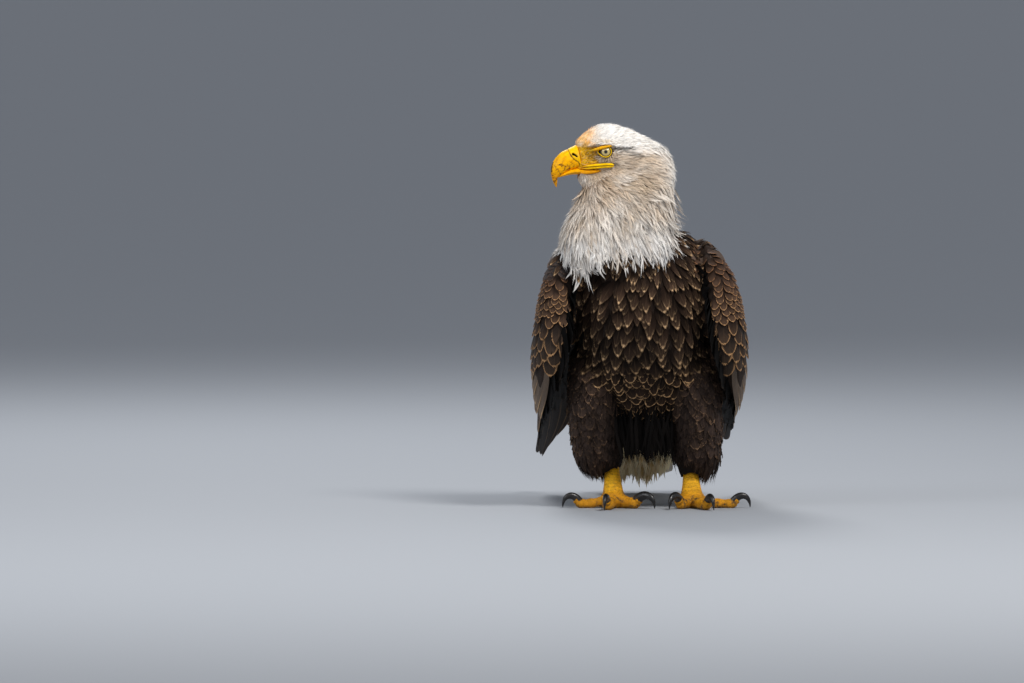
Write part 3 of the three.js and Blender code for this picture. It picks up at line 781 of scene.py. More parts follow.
def even_out(root, spacing, times=4, squash=1.0):
    """Pushes crowded roots apart over the skin. squash < 1 packs them closer along the lie."""
    from mathutils.kdtree import KDTree
    p, f, nr, w = root["p"], root["face"], root["n"], root["w"]
    for _ in range(times):
        tree = KDTree(len(p))
        for i, q in enumerate(p.tolist()):
            tree.insert(q, i)
        tree.balance()
        k = min(9, len(p))
        idx = np.array([[h[1] for h in tree.find_n(q, k)] for q in p.tolist()])
        t = lie(p, w, nr)
        b = np.cross(nr, t)
        d = p[:, None] - p[idx]
        x, y = (d * b[:, None]).sum(-1), (d * t[:, None]).sum(-1) / squash
        r = np.hypot(x, y)
        s = spacing[f][:, None] * 1.22
        force = np.where((r > 1e-6) & (r < s), (s - r) * 0.22, 0.0) / np.maximum(r, 1e-6)
        move = (b * (x * force).sum(1)[:, None] + t * (y * force).sum(1)[:, None] * squash)
        big = np.linalg.norm(move, axis=1, keepdims=True)
        move *= np.minimum(1, 0.4 * s / np.maximum(big, 1e-9))
        hit = [skin_tree.find_nearest(q) for q in (p + move).tolist()]
        p = np.array([tuple(h[0]) for h in hit])
        f = np.array([h[2] for h in hit])
        w = skin_w[skin_tri[f]].mean(1)
        nr = unit(skin_nrm[skin_tri[f]].mean(1))
    return {"p": p, "n": nr, "w": w / w.sum(1, keepdims=True), "face": f}


def lay_down(p, n, t, length, lift, hug, steps=4, tree=None):
    """Walks each feather's shaft over the skin. Returns points and normals at steps + 1 places."""
    tree = tree or skin_tree
    N = len(p)
    P, M = np.empty((N, steps + 1, 3)), np.empty((N, steps + 1, 3))
    P[:, 0], M[:, 0] = p, n
    cur, nn, tt = p.copy(), n.copy(), t.copy()
    ds = (length / steps)[:, None]
    near = tree.find_nearest
    for k in range(1, steps + 1):
        cur = cur + tt * ds
        hit = [near(q) for q in cur.tolist()]
        loc = np.array([tuple(h[0]) for h in hit])
        hn = np.array([tuple(h[1]) for h in hit])
        height = ((cur - loc) * hn).sum(1)
        want = lift * (k / steps)
        on = sstep(0.1, 0.5, (hn * nn).sum(1)) * sstep(26, 12, np.linalg.norm(cur - loc, axis=1))
        move = np.where(height < want, want - height, (want - height) * hug) * on
        cur = cur + hn * move[:, None]
        nn = unit(mix(nn, hn, (np.where(height < want, 0.8, hug) * on)[:, None]))
        d = unit(cur - P[:, k - 1])
        tt = unit(d - (d * nn).sum(1, keepdims=True) * nn * 0.6)
        P[:, k], M[:, k] = cur, nn
    return P, M


def locks(P, t, gap, share, strength, seed, stretch=0.5):
    """Draws neighbouring feathers together toward their tips, as plumage falls into locks."""
    from mathutils.kdtree import KDTree
    p = P[:, 0]
    rng = np.random.RandomState(seed)
    guides = rng.permutation(len(p))[: max(1, int(len(p) * share))]
    sc = np.array([1, 1, stretch])
    tree = KDTree(len(guides))
    for i, g in enumerate(guides.tolist()):
        tree.insert(p[g] * sc, i)
    tree.balance()
    found = [tree.find(q) for q in (p * sc).tolist()]
    g = guides[np.array([h[1] for h in found])]
    near = sstep(gap * 1.6, gap * 0.6, np.array([h[2] for h in found]))
    d = P[g] - P
    d = d - (d * t[:, None]).sum(-1, keepdims=True) * t[:, None]
    k = np.linspace(0, 1, P.shape[1]) ** 1.3
    return P + d * (strength * near[:, None] * k[None])[..., None]


# ---- one feather: a shaft with barbs out to a ragged rim -------------------------------------------------------
def vane(K, shape, stations=(0.5, 0.86), first=0.04, sweep=0.3, teeth=True, hairs=0):
    """A feather's own pattern, shared by all feathers of a kind. shape(s) is the half width."""
    k = np.arange(K + 1) / K
    a = first + (0.965 - first) * k**0.9
    b = a + sweep * (1 - a)
    b[-1] = 1.0
    wb = np.maximum(shape(b), 0.03)
    if not teeth:
        stations = tuple(stations) + (1.0,)
    s, x, r, tipflag = [a], [np.zeros(K + 1)], [np.zeros(K + 1)], [np.zeros(K + 1)]
    for sg in (1, -1):
        for st in stations:
            s.append(a + (b - a) * st**1.1)
            x.append(sg * st * wb)
            r.append(np.full(K + 1, st) * sg)
            tipflag.append(np.full(K + 1, 0.5 if st == 1.0 else 0.0))
        if teeth:
            s.append((b[:-1] + b[1:]) / 2)
            x.append(sg * (wb[:-1] + wb[1:]) / 2)
            r.append(np.full(K, 1.0) * sg)
            tipflag.append(np.ones(K))
    out = {n_: np.concatenate(v_) for n_, v_ in (("s", s), ("x", x), ("r", r), ("tip", tipflag))}
    J = len(stations)
    tri = []
    i = np.arange(K)
    for sg in range(2):
        base = (K + 1) + sg * (J * (K + 1) + (K if teeth else 0))
        cols = [np.arange(K + 1)] + [base + j * (K + 1) + np.arange(K + 1) for j in range(J)]
        for j in range(J):
            A, B = cols[j], cols[j + 1]
            q = [np.stack([A[i], A[i + 1], B[i + 1]], -1), np.stack([A[i], B[i + 1], B[i]], -1)]
            tri += [q_ if sg else q_[:, ::-1] for q_ in q]
        if teeth:
            tips = base + J * (K + 1) + np.arange(K)
            t = np.stack([cols[-1][i], cols[-1][i + 1], tips[i]], -1)
            tri.append(t if sg else t[:, ::-1])
    out["tri"] = np.concatenate(tri)
    if hairs:
        # fine barbs that stand past the rim
        h = np.tile(np.linspace(0.34, 0.965, hairs), 2)
        sg = np.repeat([1.0, -1.0], hairs)
        d = 0.30 / hairs
        hs = np.stack([h - d, h + d, h + 0.050 + 0.015 * (h > 0.8)], -1)
        wh = np.maximum(shape(h), 0.03)
        hx = np.stack([shape(h - d) * 0.95, shape(h + d) * 0.95, np.maximum(shape(h + 0.05), 0.0) + 0.045], -1) * sg[:, None]
        hr = np.stack([0.69 * sg, 0.69 * sg, 0.8 * sg], -1)
        ht = np.tile([0.0, 0.0, 1.0], (2 * hairs, 1))
        V = len(out["s"])
        ti = V + np.arange(6 * hairs).reshape(-1, 3)
        ti = np.where((sg > 0)[:, None], ti[:, ::-1], ti)
        for n_, v_ in (("s", hs), ("x", hx), ("r", hr), ("tip", ht)):
            out[n_] = np.concatenate([out[n_], v_.ravel()])
        out["tri"] = np.concatenate([out["tri"], ti])
    return out


def plume(strands, shape, half=0.17, reach=0.6):
    """A loose feather: fine strands that leave the shaft and end one after another."""
    ends = [(1.0, 0.0)]
    for j in range(strands):
        e = mix(0.955, 0.50, ((j + 0.5) / strands) ** 1.05)
        ends += [(e, shape(e) * 1.02), (e - 0.02, -shape(e) * 1.02)]
    s, x, r, tip, g, tri = [], [], [], [], [], []
    for k, (e, xe) in enumerate(ends):
        s0 = max(0.02, e - reach)
        base = len(s)
        for u in (0.0, 0.38, 0.72):
            hw = half * (1 - 0.45 * u**2)
            for sg in (-1, 1):
                s.append(s0 + (e - s0) * u)
                x.append(xe * u**1.6 + sg * hw)
                r.append((xe * u**1.6) + sg * 0.12)
                tip.append(u * u)
                g.append(k)
        s.append(e)
        x.append(xe)
        r.append(np.sign(xe) * 0.9)
        tip.append(1.0)
        g.append(k)
        for a, b in ((0, 2), (2, 4)):
            tri += [[base + a, base + b + 1, base + b], [base + a, base + a + 1, base + b + 1]]
        tri.append([base + 4, base + 5, base + 6])
    return {"s": np.array(s), "x": np.array(x), "r": np.array(r), "tip": np.array(tip), "g": np.array(g), "tri": np.array(tri)}


def catmull(n_ctrl, s):
    """Weights of n_ctrl evenly spaced points at places s in 0..1, smooth, and of the slope."""
    m = n_ctrl - 1
    W, dW = np.zeros((len(s), n_ctrl)), np.zeros((len(s), n_ctrl))
    u = np.clip(s, 0, 1.12) * m
    i = np.clip(np.floor(u).astype(int), 0, m - 1)
    f = u - i
    w = [(-f**3 + 2 * f**2 - f) / 2, (3 * f**3 - 5 * f**2 + 2) / 2, (-3 * f**3 + 4 * f**2 + f) / 2, (f**3 - f**2) / 2]
    d = [(-3 * f**2 + 4 * f - 1) / 2, (9 * f**2 - 10 * f) / 2, (-9 * f**2 + 8 * f + 1) / 2, (3 * f**2 - 2 * f) / 2]
    over = f > 1
    for j in range(4):
        idx = np.clip(i - 1 + j, 0, m)
        wj = np.where(over, [0, 1 - 0, 0, 0][j] * 0 + {0: 0, 1: 1, 2: 0, 3: 0}[j] * (1 - f) + {0: 0, 1: 0, 2: 1, 3: 0}[j] * f, w[j])
        dj = np.where(over, {0: 0.0, 1: -1.0, 2: 1.0, 3: 0.0}[j], d[j])
        np.add.at(W, (np.arange(len(s)), idx), wj)
        np.add.at(dW, (np.arange(len(s)), idx), dj)
    return W, dW


TOTAL = {"tris": 0}


def feathers(name, pat, P, M, length, width, uv, tint, edge, edge_amt, mat, seed, rag=0.05, camber=0.35, bend=None,
             curl=None, split=0.25, fan=0.0, root_tint=(0.55, 0.55, 0.55), thickness=0.0, twist=None, widen=None, uv_size=0.003, slot="brown_feather", grade=(0.08, 0.66)):
    """Builds one joined mesh of feathers laid along shafts P with normals M."""
    pieces = math.ceil(len(P) * len(pat["tri"]) * (2 if thickness else 1) / 185000)
    if pieces > 1:
        cut = lambda v_, k_: v_[k_] if np.ndim(v_) and len(v_) == len(P) else v_
        for i_, k_ in enumerate(np.array_split(np.argsort(P[:, 0, 0], kind="stable"), pieces)):
            feathers(f"{name}_{chr(97 + i_)}", pat, P[k_], M[k_], length[k_], cut(width, k_), uv[k_], tint[k_], edge[k_], edge_amt[k_], mat, seed + i_,
                     rag, camber, cut(bend, k_), cut(curl, k_), split, fan, cut(root_tint, k_), thickness, cut(twist, k_), None, uv_size, slot, grade)
        return None
    rng = np.random.RandomState(seed)
    N, C = P.shape[:2]
    s, x, r, tipf = pat["s"], pat["x"], pat["r"], pat["tip"]
    V = len(s)
    S = np.tile(s, (N, 1))
    X = np.tile(x, (N, 1))
    # ragged rim: each barb bundle ends a little sooner or later
    loose = pat.get("g")
    if loose is not None:
        G_ = loose.max() + 1
        j1, j2, j3 = (rng.normal(0, 1, (N, G_))[:, loose] for _ in range(3))
        S = S + tipf * rag * j1
        X = X + tipf * 0.16 * j2
    else:
        jit = rng.normal(0, 1, (N, V))
        S = S + tipf * rag * (0.35 + 0.8 * np.abs(jit)) * 0.8
        X = X * (1 + tipf * rag * 1.2 * jit)
    # splits: some bundles draw together and leave a gap
    if split and loose is None:
        gap = (rng.rand(N, V) < split) * (1 - tipf) * (np.abs(r) > 0.7)
        X = X * (1 - gap * rng.uniform(0.10, 0.42, (N, V)))
        S = S - gap * 0.03
    Wm, dWm = catmull(C, s)
    ctr = np.einsum("vc,ncd->nvd", Wm, P)
    tan = unit(np.einsum("vc,ncd->nvd", dWm, P))
    nr = np.einsum("vc,ncd->nvd", Wm, M)
    nr = unit(nr - (nr * tan).sum(-1, keepdims=True) * tan)
    bi = np.cross(nr, tan)
    if twist is not None:
        ang = (twist[:, None] * (0.3 + 0.7 * S))[..., None]
        nr, bi = nr * np.cos(ang) - bi * np.sin(ang), bi * np.cos(ang) + nr * np.sin(ang)
    half = width[:, None] * X
    pos = ctr + bi * half[..., None] + tan * ((S - s) * length[:, None])[..., None]
    xx = np.abs(X)
    drop = -camber * width[:, None] * xx**2
    if loose is None:
        drop = drop + fan * width[:, None] * rng.normal(0, 1, (N, V)) * np.abs(r) ** 2 * 0.12
    else:
        drop = drop + fan * width[:, None] * np.abs(j3) * (0.08 + tipf) * 0.28
    if curl is not None:
        drop = drop + (curl * length)[:, None] * np.clip(S - 0.45, 0, 1) ** 2 * 2.2
    if bend is not None:
        pos = pos + bi * ((bend * length)[:, None] * S**2)[..., None]
    pos = pos + nr * drop[..., None]
    tri = pat["tri"]
    if thickness:
        low = pos - nr * (thickness * (1 - 0.8 * np.abs(r)))[None, :, None]
        pos = np.concatenate([pos, low], 1)
        tri = np.concatenate([tri, tri[:, ::-1] + V])
        rep = lambda q_: np.concatenate([q_, q_], -1)
        S, X, r = rep(S), rep(X), rep(r)
        s = rep(s)
        V2 = V * 2
    else:
        V2 = V
    own = rng.uniform(0, 60, N)
    # colour: darker to the root, partly the feather's own darker base and partly painted shade where the feathers
    # overlap, each feather a little different
    val = (1 + 0.10 * rng.normal(0, 1, N)).clip(0.72, 1.3)
    tone = tint * val[:, None]
    rt = np.broadcast_to(np.asarray(root_tint, float), (N, 3))[:, None, :]
    T = tone[:, None, :] * mix(rt, 1.0, sstep(grade[0], grade[1], s)[None, :, None])
    E = np.broadcast_to((edge * (0.85 + 0.15 * val[:, None]))[:, None, :], (N, V2, 3))
    A = np.broadcast_to(edge_amt[:, None], (N, V2))
    co = pos.reshape(-1, 3)
    tris = (tri[None] + (np.arange(N) * V2)[:, None, None]).reshape(-1, 3)
    me = mesh_from(name, co, tris)
    put_colour(me, "Tint", T.reshape(-1, 3))
    put_colour(me, "Edge", E.reshape(-1, 3), A.reshape(-1))
    mmv = np.stack([(X * width[:, None]), S * length[:, None], np.broadcast_to(own[:, None], S.shape)], -1)
    put_points(me, "Barb", mmv.reshape(-1, 3), "FLOAT_VECTOR")
    van = np.stack([np.broadcast_to(r, S.shape), S], -1).reshape(-1, 2)
    size_ = np.array(uv_size if np.ndim(uv_size) else (uv_size, uv_size))
    patch = uv[:, None, :] + size_ * np.stack([np.broadcast_to(r, S.shape) * 0.5, S.clip(0, 1.02) - 0.5], -1)
    put_uv(me, "OFBake", patch.reshape(-1, 2).clip(0, 1), tris)
    put_uv(me, "Vane", van, tris)
    me.uv_layers.active = me.uv_layers["OFBake"]
    ob = add_object(me, mat)
    TOTAL["tris"] += len(tris)
    print(f"{name}: {N} feathers, {len(tris)} triangles, total {TOTAL['tris']}")
    return ob


def contour(point=1.5, full=0.55, round_=1.0):
    """A body feather's half width: broad, drawn in to a blunt point."""
    def f(s):
        up = sstep(-0.25, full * 0.75, s)
        down = (1 - np.clip((s - full) / (1 - full), 0, 1) ** point).clip(0, 1) ** (0.8 * round_)
        return up * down
    return f


def lance(full=0.3, power=1.0):
    """A long pointed hackle's half width."""
    def f(s):
        up = sstep(-0.3, full, s)
        down = (1 - np.clip((s - full) / (1 - full), 0, 1)) ** power
        return up * (0.12 * (s < 0.98) + 0.88 * down) * np.clip((1.0 - s) * 9, 0, 1) ** 0.6
    return f


m_white = feather_material("feather_white", streak=0.16, rough=0.8, sheen=0.1, shaft=0.0, edge=(0.6, 1.0), tip=(0.5, 1.0), spec=0.12)
m_breast = feather_material("feather_breast", streak=0.34, rough=0.7, sheen=0.02, edge=(0.55, 1.0), tip=(0.85, 0.94), shaft=0.05, warm=0.03, spec=0.06, rim_share=0.40, spot=0.8, rim_from=(0.60, 0.97))
m_belly = feather_material("feather_belly", streak=0.3, rough=0.7, sheen=0.02, edge=(0.74, 0.97), tip=(0.91, 0.965), shaft=0.04, warm=0.02, spec=0.06, rim_share=1.0, spot=0.1, rim_from=(0.5, 0.85))
m_brown = feather_material("feather_brown", streak=0.32, rough=0.7, sheen=0.02, edge=(0.82, 0.98), tip=(0.90, 0.97), shaft=0.12, warm=0.08, spec=0.08, rim_share=0.7, spot=0.5)
m_covert = feather_material("feather_covert", streak=0.32, rough=0.6, sheen=0.01, edge=(0.76, 0.94), tip=(0.90, 0.965), shaft=0.04, warm=0.06, spec=0.08, rim_share=0.9)
m_long = feather_material("feather_long", streak=0.34, rough=0.58, sheen=0.0, edge=(0.78, 0.94), tip=(0.955, 0.985), shaft=0.16, warm=0.16, spec=0.09)
m_flight = feather_material("feather_flight", streak=0.34, rough=0.6, sheen=0.0, edge=(0.80, 0.96), tip=(0.98, 0.998), shaft=0.2, warm=0.10, spec=0.06)

ROW = tri_mid - OFF  # face centres in the construction's directions
tx, ty, tz = ROW.T
fa, fb, fc = head_coords(tri_mid)
w_head, w_neck, w_trunk, w_thigh, w_wing, w_tail = tri_w.T
normal = lambda n_, s_=1.0: RNG.normal(0, s_, n_)
any_ = lambda n_: RNG.rand(n_)


def almond(a, c):
    """Share of the way from the eye's middle to the lids' inner rim, 1 on the rim."""
    q = np.arctan2(c - 0.1, a - 1.6)
    r = np.hypot(a - 1.6, c - 0.1)
    front = np.exp(-(np.abs(q) / 0.36) ** 2)
    rim = 7.6 - 0.6 * np.abs(np.sin(q)) ** 2 + 2.7 * front
    return r / rim


def bare(p, margin=0.0):
    """Where no feather grows: lids, lores, the lips and the side of the jaw, the bill."""
    a, b, c = head_coords(p)
    lid = almond(a, c) < 1.24 + margin * 0.1
    top = 4.6 + 0.10 * (a - 14) + 3.4 * sstep(24, 34, a)
    low = -15.5 - 0.11 * (a + 8)
    lores = (a > 9.5 - 0.45 * np.minimum(c + 4, 0) * (c < -4) - 2.0 * (c > 0)) & (c < top) & (c > low)
    lips = (a > -9.5) & (c < -16.6 + 0.03 * a) & (c > -24 + 0.02 * a)
    jaw = (a > 13) & (c <= -20) & (c > -31.0) & (a < 47)
    strip = line_distance(a, c, BROW)[0] < 2.0
    strip &= (a > -4) & (a < 26)
    return (lid | lores | lips | jaw | strip | ((a > 43) & (c > -52))) & (np.abs(b) > 3)


# ---- head: short, close feathers -------------------------------------------------------------------
def place(mask, spacing, seed, tries=5.0, settle=3, squash=1.0, keep=None):
    root = scatter(mask, spacing, seed, tries)
    if settle:
        root = even_out(root, spacing if np.ndim(spacing) else np.full(len(skin_tri), float(spacing)), settle, squash)
    if keep is not None:
        k_ = keep(root)
        root = {q_: v_[k_] for q_, v_ in root.items()}
    return root["p"], root["w"], root["n"], root["face"]


spacing = np.where(fa > 18, 1.5, mix(1.75, 2.35, sstep(18, -70, fa)))
p, w, nn, ff = place((w_head > 0.45) & ~bare(tri_mid), spacing, 11, 5.0, 0, keep=lambda r_: ~bare(r_["p"], 0.2))
ha, hb, hc = head_coords(p)
t = lie(p, w, nn)
# the feathers part round the eye and run back from the lids
away = np.stack([np.zeros(len(p))] * 3, -1)
sd = np.sign(hb)[:, None]
ex, ez = ha - 1.6, hc - 0.1
near_eye = np.exp(-(np.hypot(ex, ez) / 15.0) ** 2)[:, None]
away = (ex[:, None] * FWD + ez[:, None] * UP) / np.maximum(np.hypot(ex, ez), 1)[:, None]
t = t + 0.55 * near_eye * away
t = unit(t - (t * nn).sum(1, keepdims=True) * nn)
length = mix(5.6, 18.0, sstep(24, -60, ha)) * (0.8 + 0.45 * any_(len(p)))
crown = sstep(14, 30, hc) * sstep(40, 30, ha)
length = length * (1 + 0.55 * crown * sstep(-30, 10, ha) + 0.25 * crown)
width = length * mix(0.135, 0.072, sstep(24, -50, ha)) * (0.7 + 0.6 * any_(len(p)))
lift = mix(0.9, 2.0, sstep(16, -50, ha)) * (0.75 + 0.5 * any_(len(p))) + 0.5 * crown * sstep(-24, 6, ha)
t = unit(t + 0.16 * drift(p, 19)[:, None] * np.cross(nn, t))
P, M = lay_down(p, nn, unit(t + 0.09 * RNG.normal(0, 1, p.shape)), length, lift, 0.75)
P = locks(P, t, 5.0, 0.07, 0.34, 13)
tint = white_tint(P[:, 2]) * (1 - 0.30 * (any_(len(p)) < 0.14) * any_(len(p)))[:, None]
# darkened along the face lines: painted shadow behind the eye and before the brow strip, and the dark streaks
darken_share = np.maximum(face_streaks_and_painted_shadow(P[:, 2]), 0.8 * face_streaks_and_painted_shadow(P[:, 3]))
stand = (any_(len(p)) < 0.03 + 0.14 * crown * sstep(-20, 0, ha) + 0.05 * sstep(-40, -70, ha)) * sstep(34, 14, ha)
darkroot = mix(np.array([0.62, 0.53, 0.45]), np.array([0.94, 0.91, 0.88]), sstep(4, 24, hc)[:, None])
feathers("coat_head", vane(5, lance(0.35, 0.85), (), teeth=False), P, M, length, width, root_uv(p, ff), tint * (1 - darken_share)[:, None], tint, np.zeros(len(p)),
         m_white, 12, rag=0.09, camber=0.25, bend=normal(len(p), 0.06), curl=normal(len(p), 0.04) + 0.015 + 0.20 * stand, split=0.1,
         root_tint=darkroot, slot="white_feather", fan=0.6)

# over them a second growth of loose hair-like feathers
spacing = np.where(fa > 20, 1.9, mix(2.5, 3.2, sstep(20, -70, fa)))
p, w, nn, ff = place((w_head > 0.45) & ~bare(tri_mid), spacing, 14, 5.0, 0, keep=lambda r_: ~bare(r_["p"], 0.4))
ha, hb, hc = head_coords(p)
t = lie(p, w, nn)
ex, ez = ha - 1.6, hc - 0.1
near_eye = np.exp(-(np.hypot(ex, ez) / 15.0) ** 2)[:, None]
t = t + 0.55 * near_eye * (ex[:, None] * FWD + ez[:, None] * UP) / np.maximum(np.hypot(ex, ez), 1)[:, None]
t = unit(t - (t * nn).sum(1, keepdims=True) * nn)
crown = sstep(14, 30, hc) * sstep(40, 28, ha)
length = mix(6.5, 24.0, sstep(26, -60, ha)) * (0.75 + 0.5 * any_(len(p))) * (1 + 0.35 * crown * sstep(-10, 14, ha))
t = unit(t + 0.20 * drift(p, 19)[:, None] * np.cross(nn, t))
tuft = crown * (drift(p * np.array([1, 1, 0.5]) + 31, 13) > 0.45) * sstep(-30, -10, ha)
P, M = lay_down(p, nn, unit(t + 0.10 * RNG.normal(0, 1, p.shape)), length, mix(1.4, 3.0, sstep(16, -50, ha)) * (0.7 + 0.6 * any_(len(p))) + 2.2 * tuft, 0.7)
P = locks(P, t, 7.0, 0.07, 0.5, 15)
tint = white_tint(P[:, 2]) * (1.03 + 0.06 * sstep(8, 20, hc))[:, None]
# darkened along the face lines: painted shadow behind the eye and before the brow strip, and the dark streaks
darken_share = np.maximum(face_streaks_and_painted_shadow(P[:, 2]), 0.8 * face_streaks_and_painted_shadow(P[:, 3]))
soft_root = mix(np.array([0.66, 0.58, 0.50]), np.array([0.96, 0.94, 0.92]), sstep(4, 24, hc)[:, None])
feathers("coat_head_fine", plume(3, lance(0.40, 0.8), 0.20), P, M, length, length * mix(0.16, 0.085, sstep(24, -50, ha)) * (0.8 + 0.5 * any_(len(p))), root_uv(p, ff),
         tint * (1 - 0.9 * darken_share)[:, None], tint, np.zeros(len(p)), m_white, 16, rag=0.05, camber=0.2, bend=normal(len(p), 0.07),
         curl=normal(len(p), 0.04) + 0.02 + 0.12 * tuft, split=0.0, root_tint=soft_root, slot="white_feather", fan=1.0)

# ---- neck: long pointed hackles ---------------------------------------------------------------------
mask = ((w_neck > 0.5) | ((w_head > 0.3) & (fc < -46))) & ~((tri_n[:, 2] < mix(-0.30, -0.85, sstep(-46, -58, tx))) & (w_neck > 0.5))
hackles = (vane(6, lance(0.42, 0.9), (0.55,), sweep=0.3, teeth=False), plume(4, lance(0.45, 0.75), 0.15), plume(4, lance(0.48, 0.75), 0.14))
# tone: each deeper layer of hackles is darker, painted shade under the outer ones
for layer, (gap, seed, wide, up, tone) in enumerate(((4.2, 21, 0.85, 0.6, 0.80), (4.3, 23, 0.90, 0.85, 0.90), (5.2, 25, 1.10, 1.15, 0.98))):
    spacing = gap * mix(1.1, 0.72, sstep(370, 465, tz))
    p, w, nn, ff = place(mask & ~bare(tri_mid), spacing, seed, 5.0, 0)
    t = lie(p, w, nn)
    x_, y_, z_ = (p - OFF).T
    t = unit(t + (0.26 * drift(p, 34) + 0.12 * drift(p + 30, 15))[:, None] * np.cross(nn, t))
    length = mix(50.0, 27.0, sstep(365, 470, z_)) * (0.72 + 0.5 * any_(len(p)))
    right = sstep(0, 40, x_)  # the side over the shoulder lies short and close
    over = z_ - hem_z(p) + 24 * any_(len(p)) ** 3 * sstep(60, 30, x_) + 3 * any_(len(p)) - 4
    over = over + 8.0 * drift(p * np.array([1, 1, 0.35]), 12) * sstep(420, 385, z_)
    length = np.minimum(length, over / 0.93)
    k_ = length > (7 if layer == 0 else 12)
    p, w, nn, ff, t, x_, y_, z_, length, right = (q_[k_] for q_ in (p, w, nn, ff, t, x_, y_, z_, length, right))
    width = mix(3.8, 2.3, sstep(370, 460, z_)) * (0.65 + 0.6 * any_(len(p))) * wide
    nape = sstep(0.1, -0.5, nn @ FWD) * sstep(400, 430, z_)
    lift = mix(5.5, 4.2, sstep(370, 460, z_)) * (0.6 + 0.7 * any_(len(p))) * up * (1 - 0.35 * right) * (1 + 0.5 * nape)
    P, M = lay_down(p, nn, unit(t + 0.10 * RNG.normal(0, 1, p.shape)), length, lift, 0.55, steps=5)
    P = locks(P, t, 15.0, 0.07, 0.62, seed + 5)
    # painted shade: the front of the lower neck on the bird's right is a little darker; painted light: the sides of the
    # upper neck are brighter, most on the bird's left; a band just to the bird's right of the middle is a little darker
    tint = white_tint(P[:, 3]) * tone * mix(np.ones(3), np.array([0.96, 0.94, 0.91]), (sstep(20, -60, x_) * sstep(-20, -70, y_) * sstep(470, 400, z_))[:, None] * 0.7)
    tint = tint * (1 + mix(0.10, 0.30, sstep(0, 40, x_)) * sstep(12, 50, np.abs(x_ - 8)) * sstep(396, 436, z_) - 0.06 * sstep(40, 10, np.abs(x_ + 20)))[:, None]
    lock = 0.5 + 0.5 * drift(p * np.array([1, 1, 0.45]), 17)
    tint = mix(tint, CREAM * 0.80, (0.50 * sstep(0.5, 1.0, lock))[:, None])
    darken_share = 0.45 * (any_(len(p)) < 0.12) * any_(len(p))
    stand = (any_(len(p)) < 0.05 + 0.22 * nape) * any_(len(p))
    feathers(f"coat_neck_{layer + 1}", hackles[layer], P, M, length, width, root_uv(p, ff),
             tint * (1 - darken_share)[:, None], tint, np.zeros(len(p)), m_white, 22 + layer, rag=0.06, camber=0.30, bend=normal(len(p), 0.09),
             curl=normal(len(p), 0.045) + 0.01 + 0.16 * stand, split=0.16, root_tint=(0.36, 0.30, 0.25), slot="white_feather", fan=1.0)

# the longest hackles of the nape stand away from it
p, w, nn, ff = place(mask & (tri_n @ FWD < -0.10) & (tz > 410), 6.6, 27, 5.0, 0)
t = unit(lie(p, w, nn) + 0.85 * nn)
length = 22.0 + 13.0 * any_(len(p))
P, M = lay_down(p, nn, unit(t + 0.10 * RNG.normal(0, 1, p.shape)), length, 12.0 + 8.0 * any_(len(p)), 0.05, steps=5)
P = locks(P, t, 18.0, 0.14, 0.75, 28)
tint = white_tint(P[:, 3])
feathers("coat_nape", plume(5, lance(0.45, 0.8), 0.13), P, M, length, 2.3 + 0.9 * any_(len(p)), root_uv(p, ff), tint, tint, np.zeros(len(p)),
         m_white, 29, rag=0.08, camber=0.3, bend=normal(len(p), 0.10), curl=normal(len(p), 0.05) - 0.02, split=0.16, root_tint=(0.5, 0.44, 0.38), slot="white_feather", fan=1.0)

